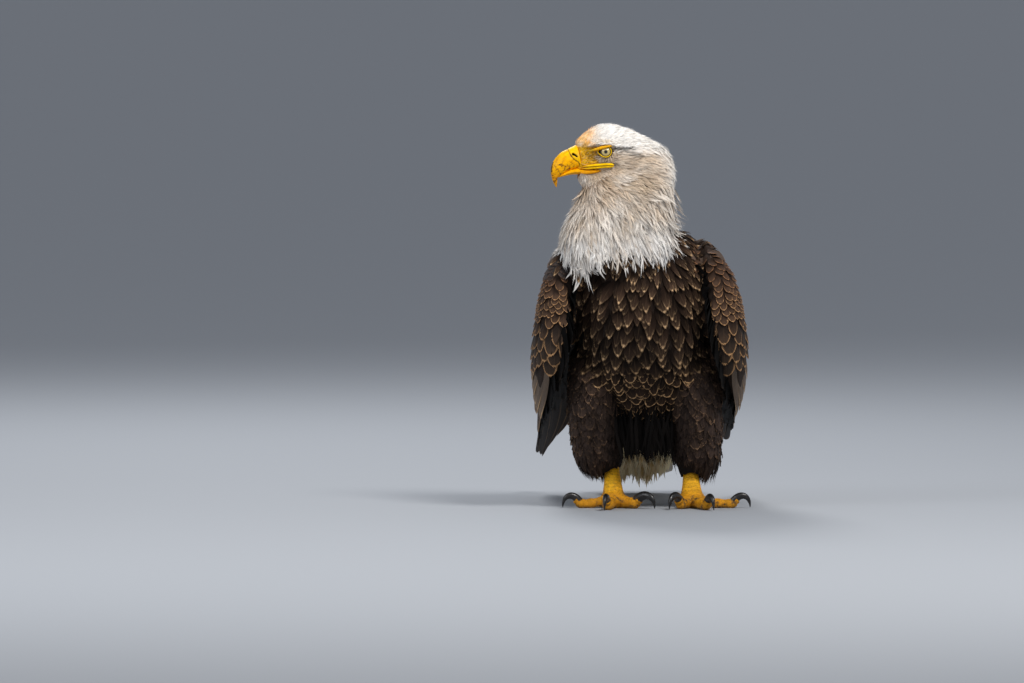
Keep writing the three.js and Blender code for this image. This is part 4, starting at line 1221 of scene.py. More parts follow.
# ---- breast, belly, flanks and back --------------------------------------------------------------------
def body_coat(name, mask, scale, seed, pats, mats, lighter, settle=3, tips=1.0, lifted=1.0):
    front = sstep(30, -20, ty)
    vent_f = sstep(150, 110, tz) * sstep(-70, -30, ty)
    gap = mix(15.5, mix(15.2, 12.4, sstep(266, 304, tz)), front * sstep(200, 240, tz))
    gap = mix(gap, 10.8, sstep(225, 180, tz + 0.25 * ty) * front)
    gap = mix(gap, 10.6, sstep(322, 350, tz) * front)
    gap = mix(gap, 9.0, vent_f) * scale
    p, w, nn, ff = place(mask, gap, seed, 5.0, settle, 0.9)
    t = lie(p, w, nn)
    x_, y_, z_ = (p - OFF).T
    size = gap[ff]
    isback = sstep(-30, 40, y_) * sstep(150, 230, z_ + 0.5 * y_)
    vent = sstep(150, 110, z_) * sstep(-70, -30, y_)
    neckline = sstep(318, 352, z_) * (1 - isback)
    t = unit(t + 0.16 * drift(p, 70)[:, None] * np.cross(nn, t))
    t = unit(mix(t, np.array([0.0, 0.25, -1.0]), (0.75 * vent)[:, None]))
    length = size * 2.75 * mix(1.0, 1.10, isback) * mix(1.0, 1.25, neckline) * mix(1.0, 2.1, vent) * (0.85 + 0.35 * any_(len(p)))
    width = size * mix(0.78, 0.64, front[ff] * sstep(215, 250, z_)) * mix(1.0, 0.66, neckline) * mix(1.0, 0.5, vent) * (0.85 + 0.35 * any_(len(p)))
    lift = mix(5.6, 6.0, isback) * (0.6 + 0.6 * any_(len(p))) * mix(1.0, 1.25, sstep(296, 326, z_) * (y_ < 0)) * mix(1, 0.8, vent) * mix(1.0, 0.75, neckline) * lifted * mix(1.0, 1.35, sstep(350, 385, z_) * sstep(40, 60, x_))
    rim_ = sstep(322, 338, z_) * (y_ < -20)
    length = np.where(rim_ > 0.5, np.minimum(length, np.maximum((z_ - 308) / 0.95, 10)), length)
    P, M = lay_down(p, nn, unit(t + 0.10 * RNG.normal(0, 1, p.shape)), length, lift, 0.8, steps=5)
    tint = brown_tint(P[:, 3], w) * lighter
    warm = 0.5 + 0.5 * drift(p, 60)
    tint = tint * ((0.72 + 0.42 * warm) * (0.8 + 0.4 * any_(len(p))))[:, None]
    tint = tint * (1 + 1.5 * isback * sstep(300, 345, z_) * sstep(30, 60, np.abs(x_)) + 0.18 * (1 - isback) * sstep(270, 300, z_))[:, None]
    lowz = sstep(260, 200, z_)
    edge = mix(np.tile(BREAST_TIP, (len(p), 1)), srgb(206, 164, 118), lowz[:, None])
    edge = mix(edge, BACK_EDGE, isback[:, None])
    amt = (0.50 + 0.85 * any_(len(p))).clip(0, 1) * mix(1.0, 0.6, isback) * tips
    # the vent: no pale tips, and the colour darkened, its own dark brown deepened with painted shade between the legs
    amt *= 1 - 0.95 * vent
    tint = tint * (1 - 0.68 * vent)[:, None]
    groups = (("low", (y_ < 0) & (z_ < 208) & (vent < 0.5)), ("vent", vent >= 0.5), ("breast", (y_ < 0) & (z_ >= 208) & (vent < 0.5)), ("back", (y_ >= 0) & (vent < 0.5)))
    for nm, sel in groups:
        if not sel.any():
            continue
        k = sel.sum()
        soft = nm == "vent"
        feathers(f"{name}_{nm}", pats[nm], P[sel], M[sel], length[sel], width[sel], root_uv(p[sel], ff[sel]), tint[sel], edge[sel], amt[sel],
                 mats[nm], seed + k % 7, rag=0.06 if soft else 0.018, camber=0.24, bend=normal(k, 0.05), curl=normal(k, 0.016) - 0.004,
                 split=0.10, fan=1.0 if soft else 0.35, root_tint=(0.34, 0.32, 0.30), grade=(0.25, 0.98))


pats = {"low": vane(12, contour(2.1, 0.58), (0.5, 0.86), teeth=False, hairs=16), "breast": vane(13, contour(1.35, 0.46), (0.5, 0.86), teeth=False, hairs=18),
        "back": vane(12, contour(1.9, 0.58), (0.5, 0.86), teeth=False, hairs=14), "vent": plume(5, lance(0.45, 0.7), 0.15)}
mats = {"low": m_belly, "breast": m_breast, "back": m_brown, "vent": m_brown}
hem = ~((tri_n[:, 2] < -0.75) & (w_trunk > 0.5) & (tz < 100) & (ty < -40))
hem &= ~((ty > 116) & (tz < 200) & (tz > 96))  # the white rump
hem &= ~((tri_n[:, 2] < -0.25) & (tz > 316) & (ty < -30))  # under the ruff
# the under coat is darker (0.55): painted shade under the outer coat
body_coat("coat_under", (w_trunk > 0.4) & hem, 0.84, 31, pats, mats, 0.55, tips=0.25, lifted=0.75)
body_coat("coat_over", (w_trunk > 0.45) & hem, 1.0, 33, pats, mats, 1.0, settle=4)

mask = (w_trunk > 0.45) & (tz < 150) & (np.abs(tx - 8) < 46) & (ty > -78) & (ty < 6) & (tri_n[:, 2] < 0.1)
p, w, nn, ff = place(mask, 4.6, 36, 5.0, 0)
t = unit(np.array([0.0, 0.12, -1.0]) + 0.20 * RNG.normal(0, 1, p.shape) * [1, 0.6, 0.2] + 0.15 * nn)
length = (p[:, 2] - OFF[2] - 62 - 14 * any_(len(p)) ** 2) / 0.98
k_ = length > 14
p, w, nn, ff, t, length = (q_[k_] for q_ in (p, w, nn, ff, t, length))
P, M = lay_down(p, np.tile(unit(np.array([0, -1.0, -0.15])), (len(p), 1)), t, length, np.full(len(p), 2.0), 0.0, steps=5)
M[:] = unit(np.array([0, -1.0, -0.15]))
P = locks(P, t, 14.0, 0.10, 0.5, 37)
# near black: the vent's dark brown with painted shade between the legs, and a few pale wisps
tint = np.tile(srgb(15, 11, 9), (len(p), 1)) * (0.5 + 0.7 * any_(len(p)))[:, None]
x_, z_ = p[:, 0] - OFF[0], p[:, 2] - OFF[2]
wisp = ((np.abs(x_ + 12) < 6) | (np.abs(x_ - 44) < 5)) & (z_ < 94)
tint[wisp] = srgb(240, 234, 222)
feathers("coat_vent", plume(5, lance(0.5, 0.7), 0.15), P, M, length, 2.6 + 1.2 * any_(len(p)), root_uv(p, ff), tint, tint, np.zeros(len(p)), m_brown, 38,
         rag=0.05, camber=0.2, bend=normal(len(p), 0.06), curl=normal(len(p), 0.03), split=0.0, root_tint=(0.7, 0.7, 0.7), fan=1.0)

# ---- thighs: scalloped above, drawn out to wisps below -----------------------------------------------------
mask = (w_thigh > 0.45) & ~((tri_n[:, 2] < -0.6) & (tz < 60))
for layer, (gap, seed, shape) in enumerate(((7.4, 41, contour(1.5, 0.5)), (10.4, 43, contour(1.8, 0.56)))):
    p, w, nn, ff = place(mask, gap * mix(1.0, 0.8, sstep(140, 70, tz)), seed, 5.0, 1)
    t = lie(p, w, nn)
    x_, y_, z_ = (p - OFF).T
    low = sstep(130, 60, z_)
    outer = sstep(45, 95, np.abs(x_ - 4)) * (nn[:, 0] * np.sign(x_) > -0.2)
    length = mix(34.0, 38.0, low) * (0.8 + 0.4 * any_(len(p))) * mix(1.0, 1.38, low * outer)
    width = mix(9.8 if layer else 7.6, 3.2, low) * (0.75 + 0.45 * any_(len(p)))
    leg = np.where(x_ > 18, 73.0, -37.0)
    d_out = (x_ - leg) * np.where(x_ > 18, 1.0, -1.0)
    hang = np.maximum(sstep(8, 24, d_out), sstep(22, 44, y_))
    floor_ = mix(57.0, 26.0, hang) + 9 * any_(len(p)) ** 2
    length = np.minimum(length, (z_ - floor_) / 0.96)
    k_ = length > 9
    p, w, nn, ff, t, x_, y_, z_, low, outer, length, width = (q_[k_] for q_ in (p, w, nn, ff, t, x_, y_, z_, low, outer, length, width))
    P, M = lay_down(p, nn, unit(t + 0.10 * RNG.normal(0, 1, p.shape)), length, (4.2 + 1.8 * any_(len(p))) * mix(1, 0.8, low), 0.35)
    P = mix(P, locks(P, t, 16.0, 0.12, 0.5, seed + 3), low[:, None, None])
    # painted shade: the under layer is darker than the outer one
    tint = brown_tint(P[:, 2], w) * (1.3 + 0.75 * layer) * (1 + 0.2 * drift(p, 45))[:, None]
    # painted shade: feathers on the inner side, facing the other leg, are darker and have fainter rims
    inner = sstep(0.2, 0.8, -nn[:, 0] * np.sign(x_ - 8))
    tint = tint * (1 - 0.35 * inner)[:, None]
    edge = np.tile(srgb(168, 132, 100), (len(p), 1))
    for nm, sel, pat in (("upper", low < 0.5, vane(12, shape, (0.5, 0.86), teeth=False, hairs=12)), ("lower", low >= 0.5, plume(4, lance(0.48, 0.7), 0.15))):
        k = sel.sum()
        feathers(f"coat_thigh_{nm}_{layer + 1}", pat, P[sel], M[sel], length[sel], width[sel], root_uv(p[sel], ff[sel]), tint[sel], edge[sel],
                 (0.9 * any_(k) * (1 - 0.5 * low[sel]) * (1 - inner[sel]) * (0.4 + 0.6 * layer)), m_brown, 42 + layer, rag=0.015, camber=0.28,
                 bend=normal(k, 0.05), curl=normal(k, 0.018), split=0.12, fan=0.8, root_tint=(0.4, 0.4, 0.4))

# ---- folded wings: the outer face, by share t from wrist to tip and v from lower to upper edge -------------
WING_SHAPE = smooth_rows([
    [0, 110, -121, 330, 110, -121, 306, 7, 0], [0.04, 102, -104, 358, 114, -115, 250, 22, 4],
    [0.12, 86, -60, 376, 124, -92, 200, 28, 11], [0.25, 68, 6, 364, 134, -34, 152, 25, 21],
    [0.4, 52, 80, 318, 141, 50, 126, 17, 26], [0.55, 43, 150, 258, 144, 130, 104, 10.5, 22],
    [0.7, 53, 222, 190, 145, 212, 85, 6.6, 14], [0.85, 86, 298, 120, 144, 293, 64, 3.8, 7],
    [1, 132, 370, 56, 138, 374, 48, 1.4, 0]])
HANG = {-1: (0.0, 0.0, 6.0, 8.0), 1: (-21.0, 22.0, 0.0, 0.0)}


def wing_point(side, t, v, sink=0.0):
    """A point on the outer face of the folded wing, sink mm under it. v runs past -1 round the lower edge."""
    dx, dz, wide, up = HANG[side]
    t, v, sink = np.broadcast_arrays(np.asarray(t, float), np.asarray(v, float), np.asarray(sink, float))
    tc = np.clip(t, 0, 1)
    r = WING_SHAPE(tc)
    far, near = np.maximum(tc - 0.25, 0) / 0.75, np.maximum(0.3 - tc, 0) / 0.3
    T = r[..., 0:3] + np.stack([dx * far + wide * near, 0 * tc, dz * far + up * near], -1)
    B = r[..., 3:6] + np.stack([dx * far, 0 * tc, dz * far], -1)
    mid, half = (T + B) / 2, (T - B) / 2
    r0, r1 = WING_SHAPE(np.maximum(tc - 0.02, 0)), WING_SHAPE(np.minimum(tc + 0.02, 1))
    run = (r1[..., 0:3] + r1[..., 3:6] - r0[..., 0:3] - r0[..., 3:6]) / 2
    out = unit(np.cross(run, half))
    out = out * np.sign(out[..., 0:1])
    vc = np.clip(v, -1, 1)
    c = np.sqrt(np.maximum(1 - vc * vc, 0)) ** 0.85
    p = mid + half * vc[..., None] + out * (r[..., 6] * c + r[..., 7] * (1 - vc * vc) - sink)[..., None]
    p = p + unit(TIP - WRIST) * (np.maximum(t - 1, 0) * 480)[..., None]
    return D(p * np.array([side, 1.0, 1.0]))


def wing_normal(side, t, v):
    e = 0.012
    v = np.clip(v, -0.93, 0.93)
    a = wing_point(side, t + e, v) - wing_point(side, t - e, v)
    b = wing_point(side, t, v + e * 3) - wing_point(side, t, v - e * 3)
    n_ = unit(np.cross(a, b))
    return n_ * np.where(n_[..., 0:1] * side < 0, -1.0, 1.0)


share_f = wing_share(tri_mid)
for side, nm in ((1, "left"), (-1, "right")):
    on_side = (w_wing > 0.5) & (np.sign(tx) == side)
    outer = tri_n[:, 0] * side > mix(-0.45, -0.1, sstep(0.05, 0.2, share_f))
    # the inner face, in shadow against the body: near-black feathers laid along it, painted shade
    rng = np.random.RandomState(55 + side)
    tt_, vv_ = np.meshgrid(np.linspace(0.03, 0.50, 15), np.linspace(-0.94, 0.94, 11), indexing="ij")
    tt_, vv_ = tt_.ravel() + rng.uniform(-0.012, 0.012, tt_.size), vv_.ravel() + rng.uniform(-0.06, 0.06, tt_.size)
    vv_ = vv_.clip(-0.97, 0.97)
    keep_ = (vv_ < 0.55) | (tt_ > 0.16)
    tt_, vv_ = tt_[keep_], vv_[keep_]
    run = mix(0.10, 0.20, tt_ / 0.5) * rng.uniform(0.85, 1.15, tt_.size)
    st = np.linspace(0, 1, 6)
    T_ = tt_[:, None] + run[:, None] * st[None]
    V_ = np.broadcast_to(vv_[:, None], T_.shape)
    thick_ = 2 * WING_SHAPE(np.clip(T_, 0, 1))[..., 6] * np.sqrt(np.maximum(1 - V_ * V_, 0)) ** 0.85
    P = wing_point(side, T_, V_, thick_ - 3.0 + 5.5 * st[None])
    M = -wing_normal(side, T_, V_)
    length = np.linalg.norm(np.diff(P, axis=1), axis=2).sum(1)
    near_ = [skin_tree.find_nearest(q) for q in P[:, 0].tolist()]
    uvp = root_uv(np.array([tuple(h[0]) for h in near_]), np.array([h[2] for h in near_]))
    tint = np.tile(srgb(10, 8, 7), (len(P), 1))
    feathers("coat_underwing_" + nm, vane(10, contour(1.8, 0.6), (0.5,), teeth=False), P, M, length, np.full(len(P), 10.5), uvp, tint, np.tile(BACK_EDGE, (len(P), 1)),
             0.3 * rng.rand(len(P)), m_brown, 59 + side, rag=0.05, camber=0.2, bend=rng.normal(0, 0.03, len(P)), curl=rng.normal(0, 0.01, len(P)), split=0.2, fan=0.6, root_tint=(0.6, 0.6, 0.6))
    # lesser and median coverts, in close rows
    mine = on_side & outer & (share_f < 0.30) & (tz > 240 + 14 * np.sin(tri_mid[:, 0] * 0.31) - 26 * sstep(-30, 20, ty))
    big_f = np.maximum(sstep(0.15, 0.26, share_f), sstep(290, 262, tz))
    p, w, nn, ff = place(mine, mix(6.4, 13.0, big_f), 51 + side, 6.0, 10, 0.86)
    t = lie(p, w, nn)
    x_, y_, z_ = (p - OFF).T
    sh = wing_share(p)
    big = np.maximum(sstep(0.15, 0.26, sh), sstep(290, 262, z_))
    length = mix(18.0, 44.0, big) * (0.94 + 0.12 * any_(len(p)))
    width = mix(6.2, 12.0, big) * (0.94 + 0.12 * any_(len(p)))
    smooth_top = sstep(336, 345, z_) * sstep(-56, -76, y_) * (side < 0)
    length, width = length * (1 + 0.3 * smooth_top), width * (1 + 0.6 * smooth_top)
    P, M = lay_down(p, nn, unit(t + 0.035 * RNG.normal(0, 1, p.shape)), length, mix(4.2, 5.5, big) * (0.88 + 0.24 * any_(len(p))), 0.7)
    tint = mix(np.tile(srgb(72, 54, 43), (len(p), 1)), srgb(44, 37, 33), big[:, None])
    tint = tint * (1 + 0.2 * drift(p, 50))[:, None]
    tint = mix(tint, srgb(62, 57, 56), (0.9 * smooth_top)[:, None])
    rusty = sstep(300, 345, z_)[:, None]
    edge = mix(np.tile(COVERT_EDGE, (len(p), 1)), srgb(150, 106, 72), rusty)
    feathers("coat_wing_" + nm, vane(12, contour(2.2, 0.58), (0.5, 0.85), teeth=False, hairs=12), P, M, length, width, root_uv(p, ff), tint, edge,
             mix(1.0, 0.8, big) * (0.8 + 0.3 * any_(len(p))) * (1 - 0.8 * smooth_top), m_covert, 53 + side, rag=0.008, camber=0.26,
             bend=normal(len(p), 0.02), curl=normal(len(p), 0.01), split=0.04, root_tint=(0.42, 0.40, 0.38), grade=(0.2, 0.9))


def blade(s):
    up = sstep(-0.2, 0.25, s)
    down = (1 - np.clip((s - 0.84) / 0.16, 0, 1) ** 2.2).clip(0, 1) ** 0.55
    return up * down


def lanceblade(s):
    up = sstep(-0.2, 0.25, s)
    down = (1 - np.clip((s - 0.62) / 0.38, 0, 1) ** 1.6).clip(0, 1) ** 0.75
    return up * down


def blades(name, side, rows, shape, colour, edge, edge_amt, mat, seed, twist=0.10, K=34, thickness=0.5, camber=0.2, slot="flight_feather"):
    """rows: root t, v, sink; tip t, v, sink; half width. Laid on the wing's outer face."""
    st = np.linspace(0, 1, 13)
    Ps, Ms, Ls, Ws = [], [], [], []
    for (t0, v0, s0, t1, v1, s1, hw) in rows:
        tt_, vv = mix(t0, t1, st), mix(v0, v1, st**1.15)
        pts = wing_point(side, tt_, vv, mix(s0, s1, sstep(0.25, 1.0, st)))
        Ps.append(pts)
        Ms.append(wing_normal(side, tt_, vv))
        Ls.append(np.linalg.norm(np.diff(pts, axis=0), axis=1).sum())
        Ws.append(hw)
    N = len(rows)
    uvp = np.stack([(np.arange(N) + 0.5) / N, np.full(N, 0.5)], -1)
    return feathers(name, vane(K, shape, (0.4, 0.75, 0.93), 0.03, 0.10, teeth=False), np.array(Ps), np.array(Ms), np.array(Ls), np.array(Ws), uvp,
                    np.tile(colour, (N, 1)), np.tile(edge, (N, 1)), np.full(N, edge_amt), mat, seed, rag=0.004, camber=camber, split=0.02,
                    root_tint=(0.9, 0.9, 0.9), thickness=thickness, twist=np.full(N, -twist * side), uv_size=(0.84 / N, 0.94), slot=slot)


for side, nm in ((1, "left"), (-1, "right")):
    # secondaries, lowest first, then the tertials that lie over them along the back
    rows = []
    for j in range(11):
        f = j / 10
        rows.append((0.24, mix(-0.82, 0.70, f), 9.0 - 2.5 * f, mix(0.585, 0.69, f) - 0.05 * f**3, mix(-0.93, 0.80, f), 3.4 - 1.2 * f, mix(14.5, 17.0, f)))
    blades("secondaries_" + nm + "_feathers", side, rows, blade, srgb(74, 60, 50), srgb(158, 128, 98), 0.9, m_flight, 61 + side)
    rows = [(0.20 + 0.01 * j, 0.62 + 0.09 * j, 4.5 - j, 0.60 - 0.045 * j, 0.76 + 0.07 * j, 1.2 - 0.4 * j, 17.0) for j in range(4)]
    blades("tertials_" + nm + "_feathers", side, rows, blade, srgb(72, 59, 50), srgb(158, 128, 98), 0.9, m_flight, 64 + side)
    # primaries, the innermost first
    tips = [(0.69, 0.97), (0.74, 0.96), (0.79, 0.95), (0.84, 0.93), (0.885, 0.88), (0.93, 0.75), (0.97, 0.4), (1.0, 0.0), (0.975, -0.55), (0.91, -0.88)]
    rows = [(0.42 - 0.012 * j, mix(0.55, -0.84, j / 9), 10.0 - 0.3 * j, tt_, vv, 0.2 + 0.12 * (9 - j), mix(18.0, 14.0, j / 9)) for j, (tt_, vv) in enumerate(tips)]
    prim = blades("primaries_" + nm + "_feathers", side, rows, lanceblade, FLIGHT, FLIGHT_EDGE, 0.7, m_flight, 67 + side, twist=0.08)
    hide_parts("primaries_" + nm)
    # greater coverts over the roots of both
    rows = [(0.17, mix(-0.78, 0.80, j / 11), 7.5, mix(0.43, 0.45, j / 11), mix(-0.90, 0.86, j / 11), 1.0, 13.5) for j in range(12)]
    blades("greater_coverts_" + nm, side, rows, blade, srgb(76, 62, 53), srgb(196, 158, 116), 0.95, m_long, 70 + side, K=30)
    # primary coverts and alula: the long narrow feathers that hang from under the wrist
    rows = [(0.12 + 0.01 * j, mix(-0.90, -0.42, j / 6), 8.5, mix(0.405, 0.325, j / 6) - 0.02 * (j % 2), mix(-1.0, -0.60, j / 6), 1.6 - 0.15 * j, 9.5) for j in range(7)]
    blades("primary_coverts_" + nm, side, rows, blade, srgb(88, 74, 62), srgb(204, 168, 126), 1.0, m_long, 73 + side, K=30, camber=0.16)

# ---- scapulars: broad feathers from the mantle over the wing's upper edge ------------------------------------
rows = []
for side in (1, -1):
    for line in range(3):
        for j in range(13):
            rows.append((side, 0.03 + 0.031 * j + 0.012 * line, line, j))
pp = np.array([wing_point(s_, np.array([t_]), np.array([0.80]), 2.0)[0] for s_, t_, l_, j_ in rows])
sg = np.array([r_[0] for r_ in rows], float)
ln = np.array([r_[2] for r_ in rows], float)
pp = pp + np.stack([-sg * (34 - 15 * ln), 0 * sg, 10 + 0 * sg], -1) + RNG.normal(0, 2.0, pp.shape)
hit = [skin_tree.find_nearest(q) for q in pp.tolist()]
p = np.array([tuple(h[0]) for h in hit])
ff = np.array([h[2] for h in hit])
nn = unit(skin_nrm[skin_tri[ff]].mean(1) + np.array([0, 0, 0.4]))
rows_j = np.array([r_[3] for r_ in rows], float)
k_ = ~((p[:, 1] - OFF[1] < -70) & (sg > 0) & (p[:, 2] - OFF[2] > 354) & (p[:, 0] - OFF[0] > 84))
p, ff, nn, sg, ln, rows_j = (q_[k_] for q_ in (p, ff, nn, sg, ln, rows_j))
t = np.tile(AFT, (len(p), 1)) + np.stack([sg * 0.26, 0 * sg, 0 * sg], -1)
t = unit(t - (t * nn).sum(1, keepdims=True) * nn)
length = mix(46.0, 74.0, rows_j / 12) * (0.9 + 0.2 * any_(len(p)))
P, M = lay_down(p, nn, unit(t + 0.05 * RNG.normal(0, 1, p.shape)), length, 3.0 + 1.6 * ln, 0.45, steps=5)
# one that would stand off the back isn't grown
stray = np.array([max(skin_tree.find_nearest(q)[3] for q in (c_.tolist())) for c_ in P[:, 1:]])
k_ = stray < 10.0
print("scapulars", len(k_), "left out", int((~k_).sum()), np.round(np.sort(stray)[-8:], 1))
p, ff, nn, ln, rows_j, length, P, M = (q_[k_] for q_ in (p, ff, nn, ln, rows_j, length, P, M))
tint = np.tile(srgb(96, 80, 70), (len(p), 1)) * (0.85 + 0.3 * any_(len(p)))[:, None]
feathers("scapulars", vane(20, contour(2.2, 0.62), (0.45, 0.78, 0.93), teeth=False), P, M, length, length * 0.27, root_uv(p, ff), tint, np.tile(srgb(142, 108, 78), (len(p), 1)),
         0.6 + 0.4 * any_(len(p)), m_covert, 78, rag=0.02, camber=0.3, bend=normal(len(p), 0.03), curl=normal(len(p), 0.012), split=0.08,
         root_tint=(0.7, 0.7, 0.7), thickness=0.35)

# ---- tail ------------------------------------------------------------------------------------------------
TAILD = dict(rootY=118, rootZ=176, tipY=396, tipZ=20.5, x=4, tipX=-8, rootHalf=27, tipHalf=60, round=24, arch=5, roll=3)


def tail_point(u, v, lift):
    T = TAILD
    u, v = np.asarray(u, float), np.asarray(v, float)
    end = 1 - T["round"] * u * u / (T["tipY"] - T["rootY"])
    w_ = v * end
    half = T["rootHalf"] + (T["tipHalf"] - T["rootHalf"]) * np.clip(v, 0, 1.05) ** 0.8
    y = T["rootY"] + (T["tipY"] - T["rootY"]) * w_
    z = T["rootZ"] + (T["tipZ"] - T["rootZ"]) * np.clip(w_, 0, 1.05) ** 0.92
    return D(np.stack([T["x"] + (T["tipX"] - T["x"]) * v + half * u, y, z - T["arch"] * u * u * (0.5 + 0.5 * v) + T["roll"] * u * v + lift], -1))


Ps, Ms, Ls, Ws = [], [], [], []
st = np.linspace(0, 1, 9)
for j in range(12):
    u1 = (j + 0.5) / 6 - 1
    pair = abs(j - 5.5)
    uu = mix(0.5 * u1, u1 * 0.90, st)
    pts = tail_point(uu, 0.10 + 0.885 * st, 0.0) + np.array([0, 0, 1.0]) * ((1.4 - 0.45 * pair) * (0.2 + 0.8 * st))[:, None]
    d = np.gradient(pts, axis=0)
    Ps.append(pts)
    Ms.append(unit(np.cross(np.cross(d, np.array([0, 0, 1.0])), d)))
    Ls.append(np.linalg.norm(np.diff(pts, axis=0), axis=1).sum())
    Ws.append(14.0)
tw = np.array([(-0.07 if j < 6 else 0.07) for j in range(12)])
rect = feathers("tail_feathers", vane(34, blade, (0.4, 0.75, 0.93), 0.03, 0.12, teeth=False), np.array(Ps), np.array(Ms), np.array(Ls), np.array(Ws),
                np.stack([(np.arange(12) + 0.5) / 12, np.full(12, 0.5)], -1), np.tile(srgb(226, 219, 206), (12, 1)), np.tile(srgb(150, 128, 96), (12, 1)),
                np.full(12, 0.5), m_white, 71, rag=0.006, camber=0.12, split=0.0, root_tint=(0.9, 0.88, 0.85), thickness=0.5, twist=tw, uv_size=(0.07, 0.94), slot="white_feather")
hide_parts("tail")

# tail coverts: over the top of its root, and a long soft mat under it
for nm, face, count, seed in (("upper", 1, 170, 75), ("under", -1, 900, 77)):
    rng = np.random.RandomState(seed)
    u = rng.uniform(-0.92, 0.92, count) * (1.0 if face > 0 else 1.03)
    v = rng.uniform(-0.04 if face > 0 else 0.02, 0.28 if face > 0 else 0.76, count)
    thick_ = 3.2 + (30 - 3.2) * (1 - v) ** 1.6
    lift0 = face * thick_ * 0.36
    p = tail_point(u, v, lift0)
    length = (56.0 if face > 0 else 58.0) * rng.uniform(0.8, 1.2, count)
    st = np.linspace(0, 1, 6)
    dv = (length / 318.0)[:, None] * st[None]
    vv = v[:, None] + dv
    th = 3.2 + (30 - 3.2) * (1 - np.clip(vv, 0, 1)) ** 1.6
    off_ = face * (th * 0.36 + (1.0 + (4.0 * rng.rand(count) if face > 0 else (18 - 8 * np.abs(u) ** 2) * (0.74 + 0.30 * rng.rand(count)))[:, None]) * st[None] + 1.0)
    P = tail_point(u[:, None] * (1 + 0.04 * st[None]), vv, off_)
    M = np.tile(np.array([0, 0.49, 0.87]) * face, (count, 6, 1))
    w = np.zeros((count, 6))
    dirt = rng.rand(count)
    tint = mix(np.tile(srgb(226, 219, 206) if face > 0 else srgb(255, 238, 196), (count, 1)), srgb(186, 146, 82), ((0.15 if face > 0 else 0.95) * dirt * (1 - 0.9 * sstep(0.66, 0.85, np.abs(u))))[:, None])
    near_ = [skin_tree.find_nearest(q) for q in p.tolist()]
    ff = np.array([h[2] for h in near_])
    uvp = root_uv(np.array([tuple(h[0]) for h in near_]), ff)
    uvp = uvp + np.stack([u * 0.01, v * 0.02], -1)
    if face < 0:
        P = locks(P, np.tile(unit(np.array([0.0, 278.0, -155.0])), (count, 1)), 14.0, 0.12, 0.5, 81, 1.0)
    pat = vane(14, contour(1.8, 0.6), (0.5, 0.84), teeth=False, hairs=12) if face > 0 else plume(5, lance(0.5, 0.8), 0.2)
    feathers("coat_tail_" + nm, pat, P, M, length, np.full(count, 9.5 if face > 0 else 4.6) * rng.uniform(0.8, 1.2, count), uvp, tint, tint, np.zeros(count),
             m_white, seed + 1, rag=0.015 if face > 0 else 0.03, camber=0.3, bend=rng.normal(0, 0.05, count), curl=rng.normal(0, 0.02, count), split=0.06, fan=0.6,
             root_tint=(0.72, 0.68, 0.62), slot="white_feather")
mask = (w_tail > 0.4) | ((w_trunk > 0.3) & (ty > 112) & (tz < 204) & (tz > 92))
p, w, nn, ff = place(mask, 8.0, 79, 5.0, 2)
t = lie(p, w * np.array([0, 0, 0.3, 0, 0, 1]) + 1e-6, nn)
y_ = p[:, 1] - OFF[1]
length = mix(36.0, 56.0, sstep(130, 200, y_)) * (0.85 + 0.3 * any_(len(p)))
P, M = lay_down(p, nn, unit(t + 0.08 * RNG.normal(0, 1, p.shape)), length, np.full(len(p), 3.0), 0.3)
k_ = nn[:, 2] > -0.15
p, w, nn, ff, length, P, M = (q_[k_] for q_ in (p, w, nn, ff, length, P, M))
tint = np.tile(srgb(232, 226, 216), (len(p), 1)) * (0.9 + 0.15 * drift(p, 30))[:, None]
feathers("coat_tail_root", vane(12, contour(1.8, 0.58), (0.5, 0.84), teeth=False, hairs=12), P, M, length, 9.0 * (0.85 + 0.3 * any_(len(p))), root_uv(p, ff), tint, tint, np.zeros(len(p)), m_white, 76,
         rag=0.015, camber=0.35, bend=normal(len(p), 0.05), curl=normal(len(p), 0.02), split=0.06, fan=0.5, root_tint=(0.74, 0.71, 0.66), slot="white_feather")

# ---- curves and tubes --------------------------------------------------------------------------------------
def curve(points, n):
    """n places along a smooth line through the points, and the unit direction at each."""
    pts = np.asarray(points, float)
    k = np.concatenate([[0], np.cumsum(np.linalg.norm(np.diff(pts, axis=0), axis=1))])
    f = smooth_rows(np.concatenate([k[:, None], pts], 1))
    s = np.linspace(0, k[-1], n)
    return f(s), unit(f(np.minimum(s + 0.05, k[-1])) - f(np.maximum(s - 0.05, 0)))


def tube(line, direction, radius, sides=20, high=1.0, wide=1.0, up=UP, rounded=True):
    side = np.cross(direction, up)
    side = unit(np.where(np.linalg.norm(side, axis=1, keepdims=True) < 0.05, np.array([[1.0, 0, 0]]), side))
    top = np.cross(side, direction)
    q = np.linspace(0, 2 * math.pi, sides, endpoint=False)
    rings = (line[:, None] + side[:, None] * (np.cos(q)[None, :, None] * np.asarray(radius)[:, None, None] * wide)
             + top[:, None] * (np.sin(q)[None, :, None] * np.asarray(radius)[:, None, None] * high))
    return loft(rings)


def plain_material(name, base, rough, coat=0.0, spec=0.5):
    n = Nodes(name)
    n.bsdf.inputs["Roughness"].default_value = rough
    n.bsdf.inputs["Specular IOR Level"].default_value = spec
    n.bsdf.inputs["Coat Weight"].default_value = coat
    n.bsdf.inputs["Coat Roughness"].default_value = 0.08
    return n


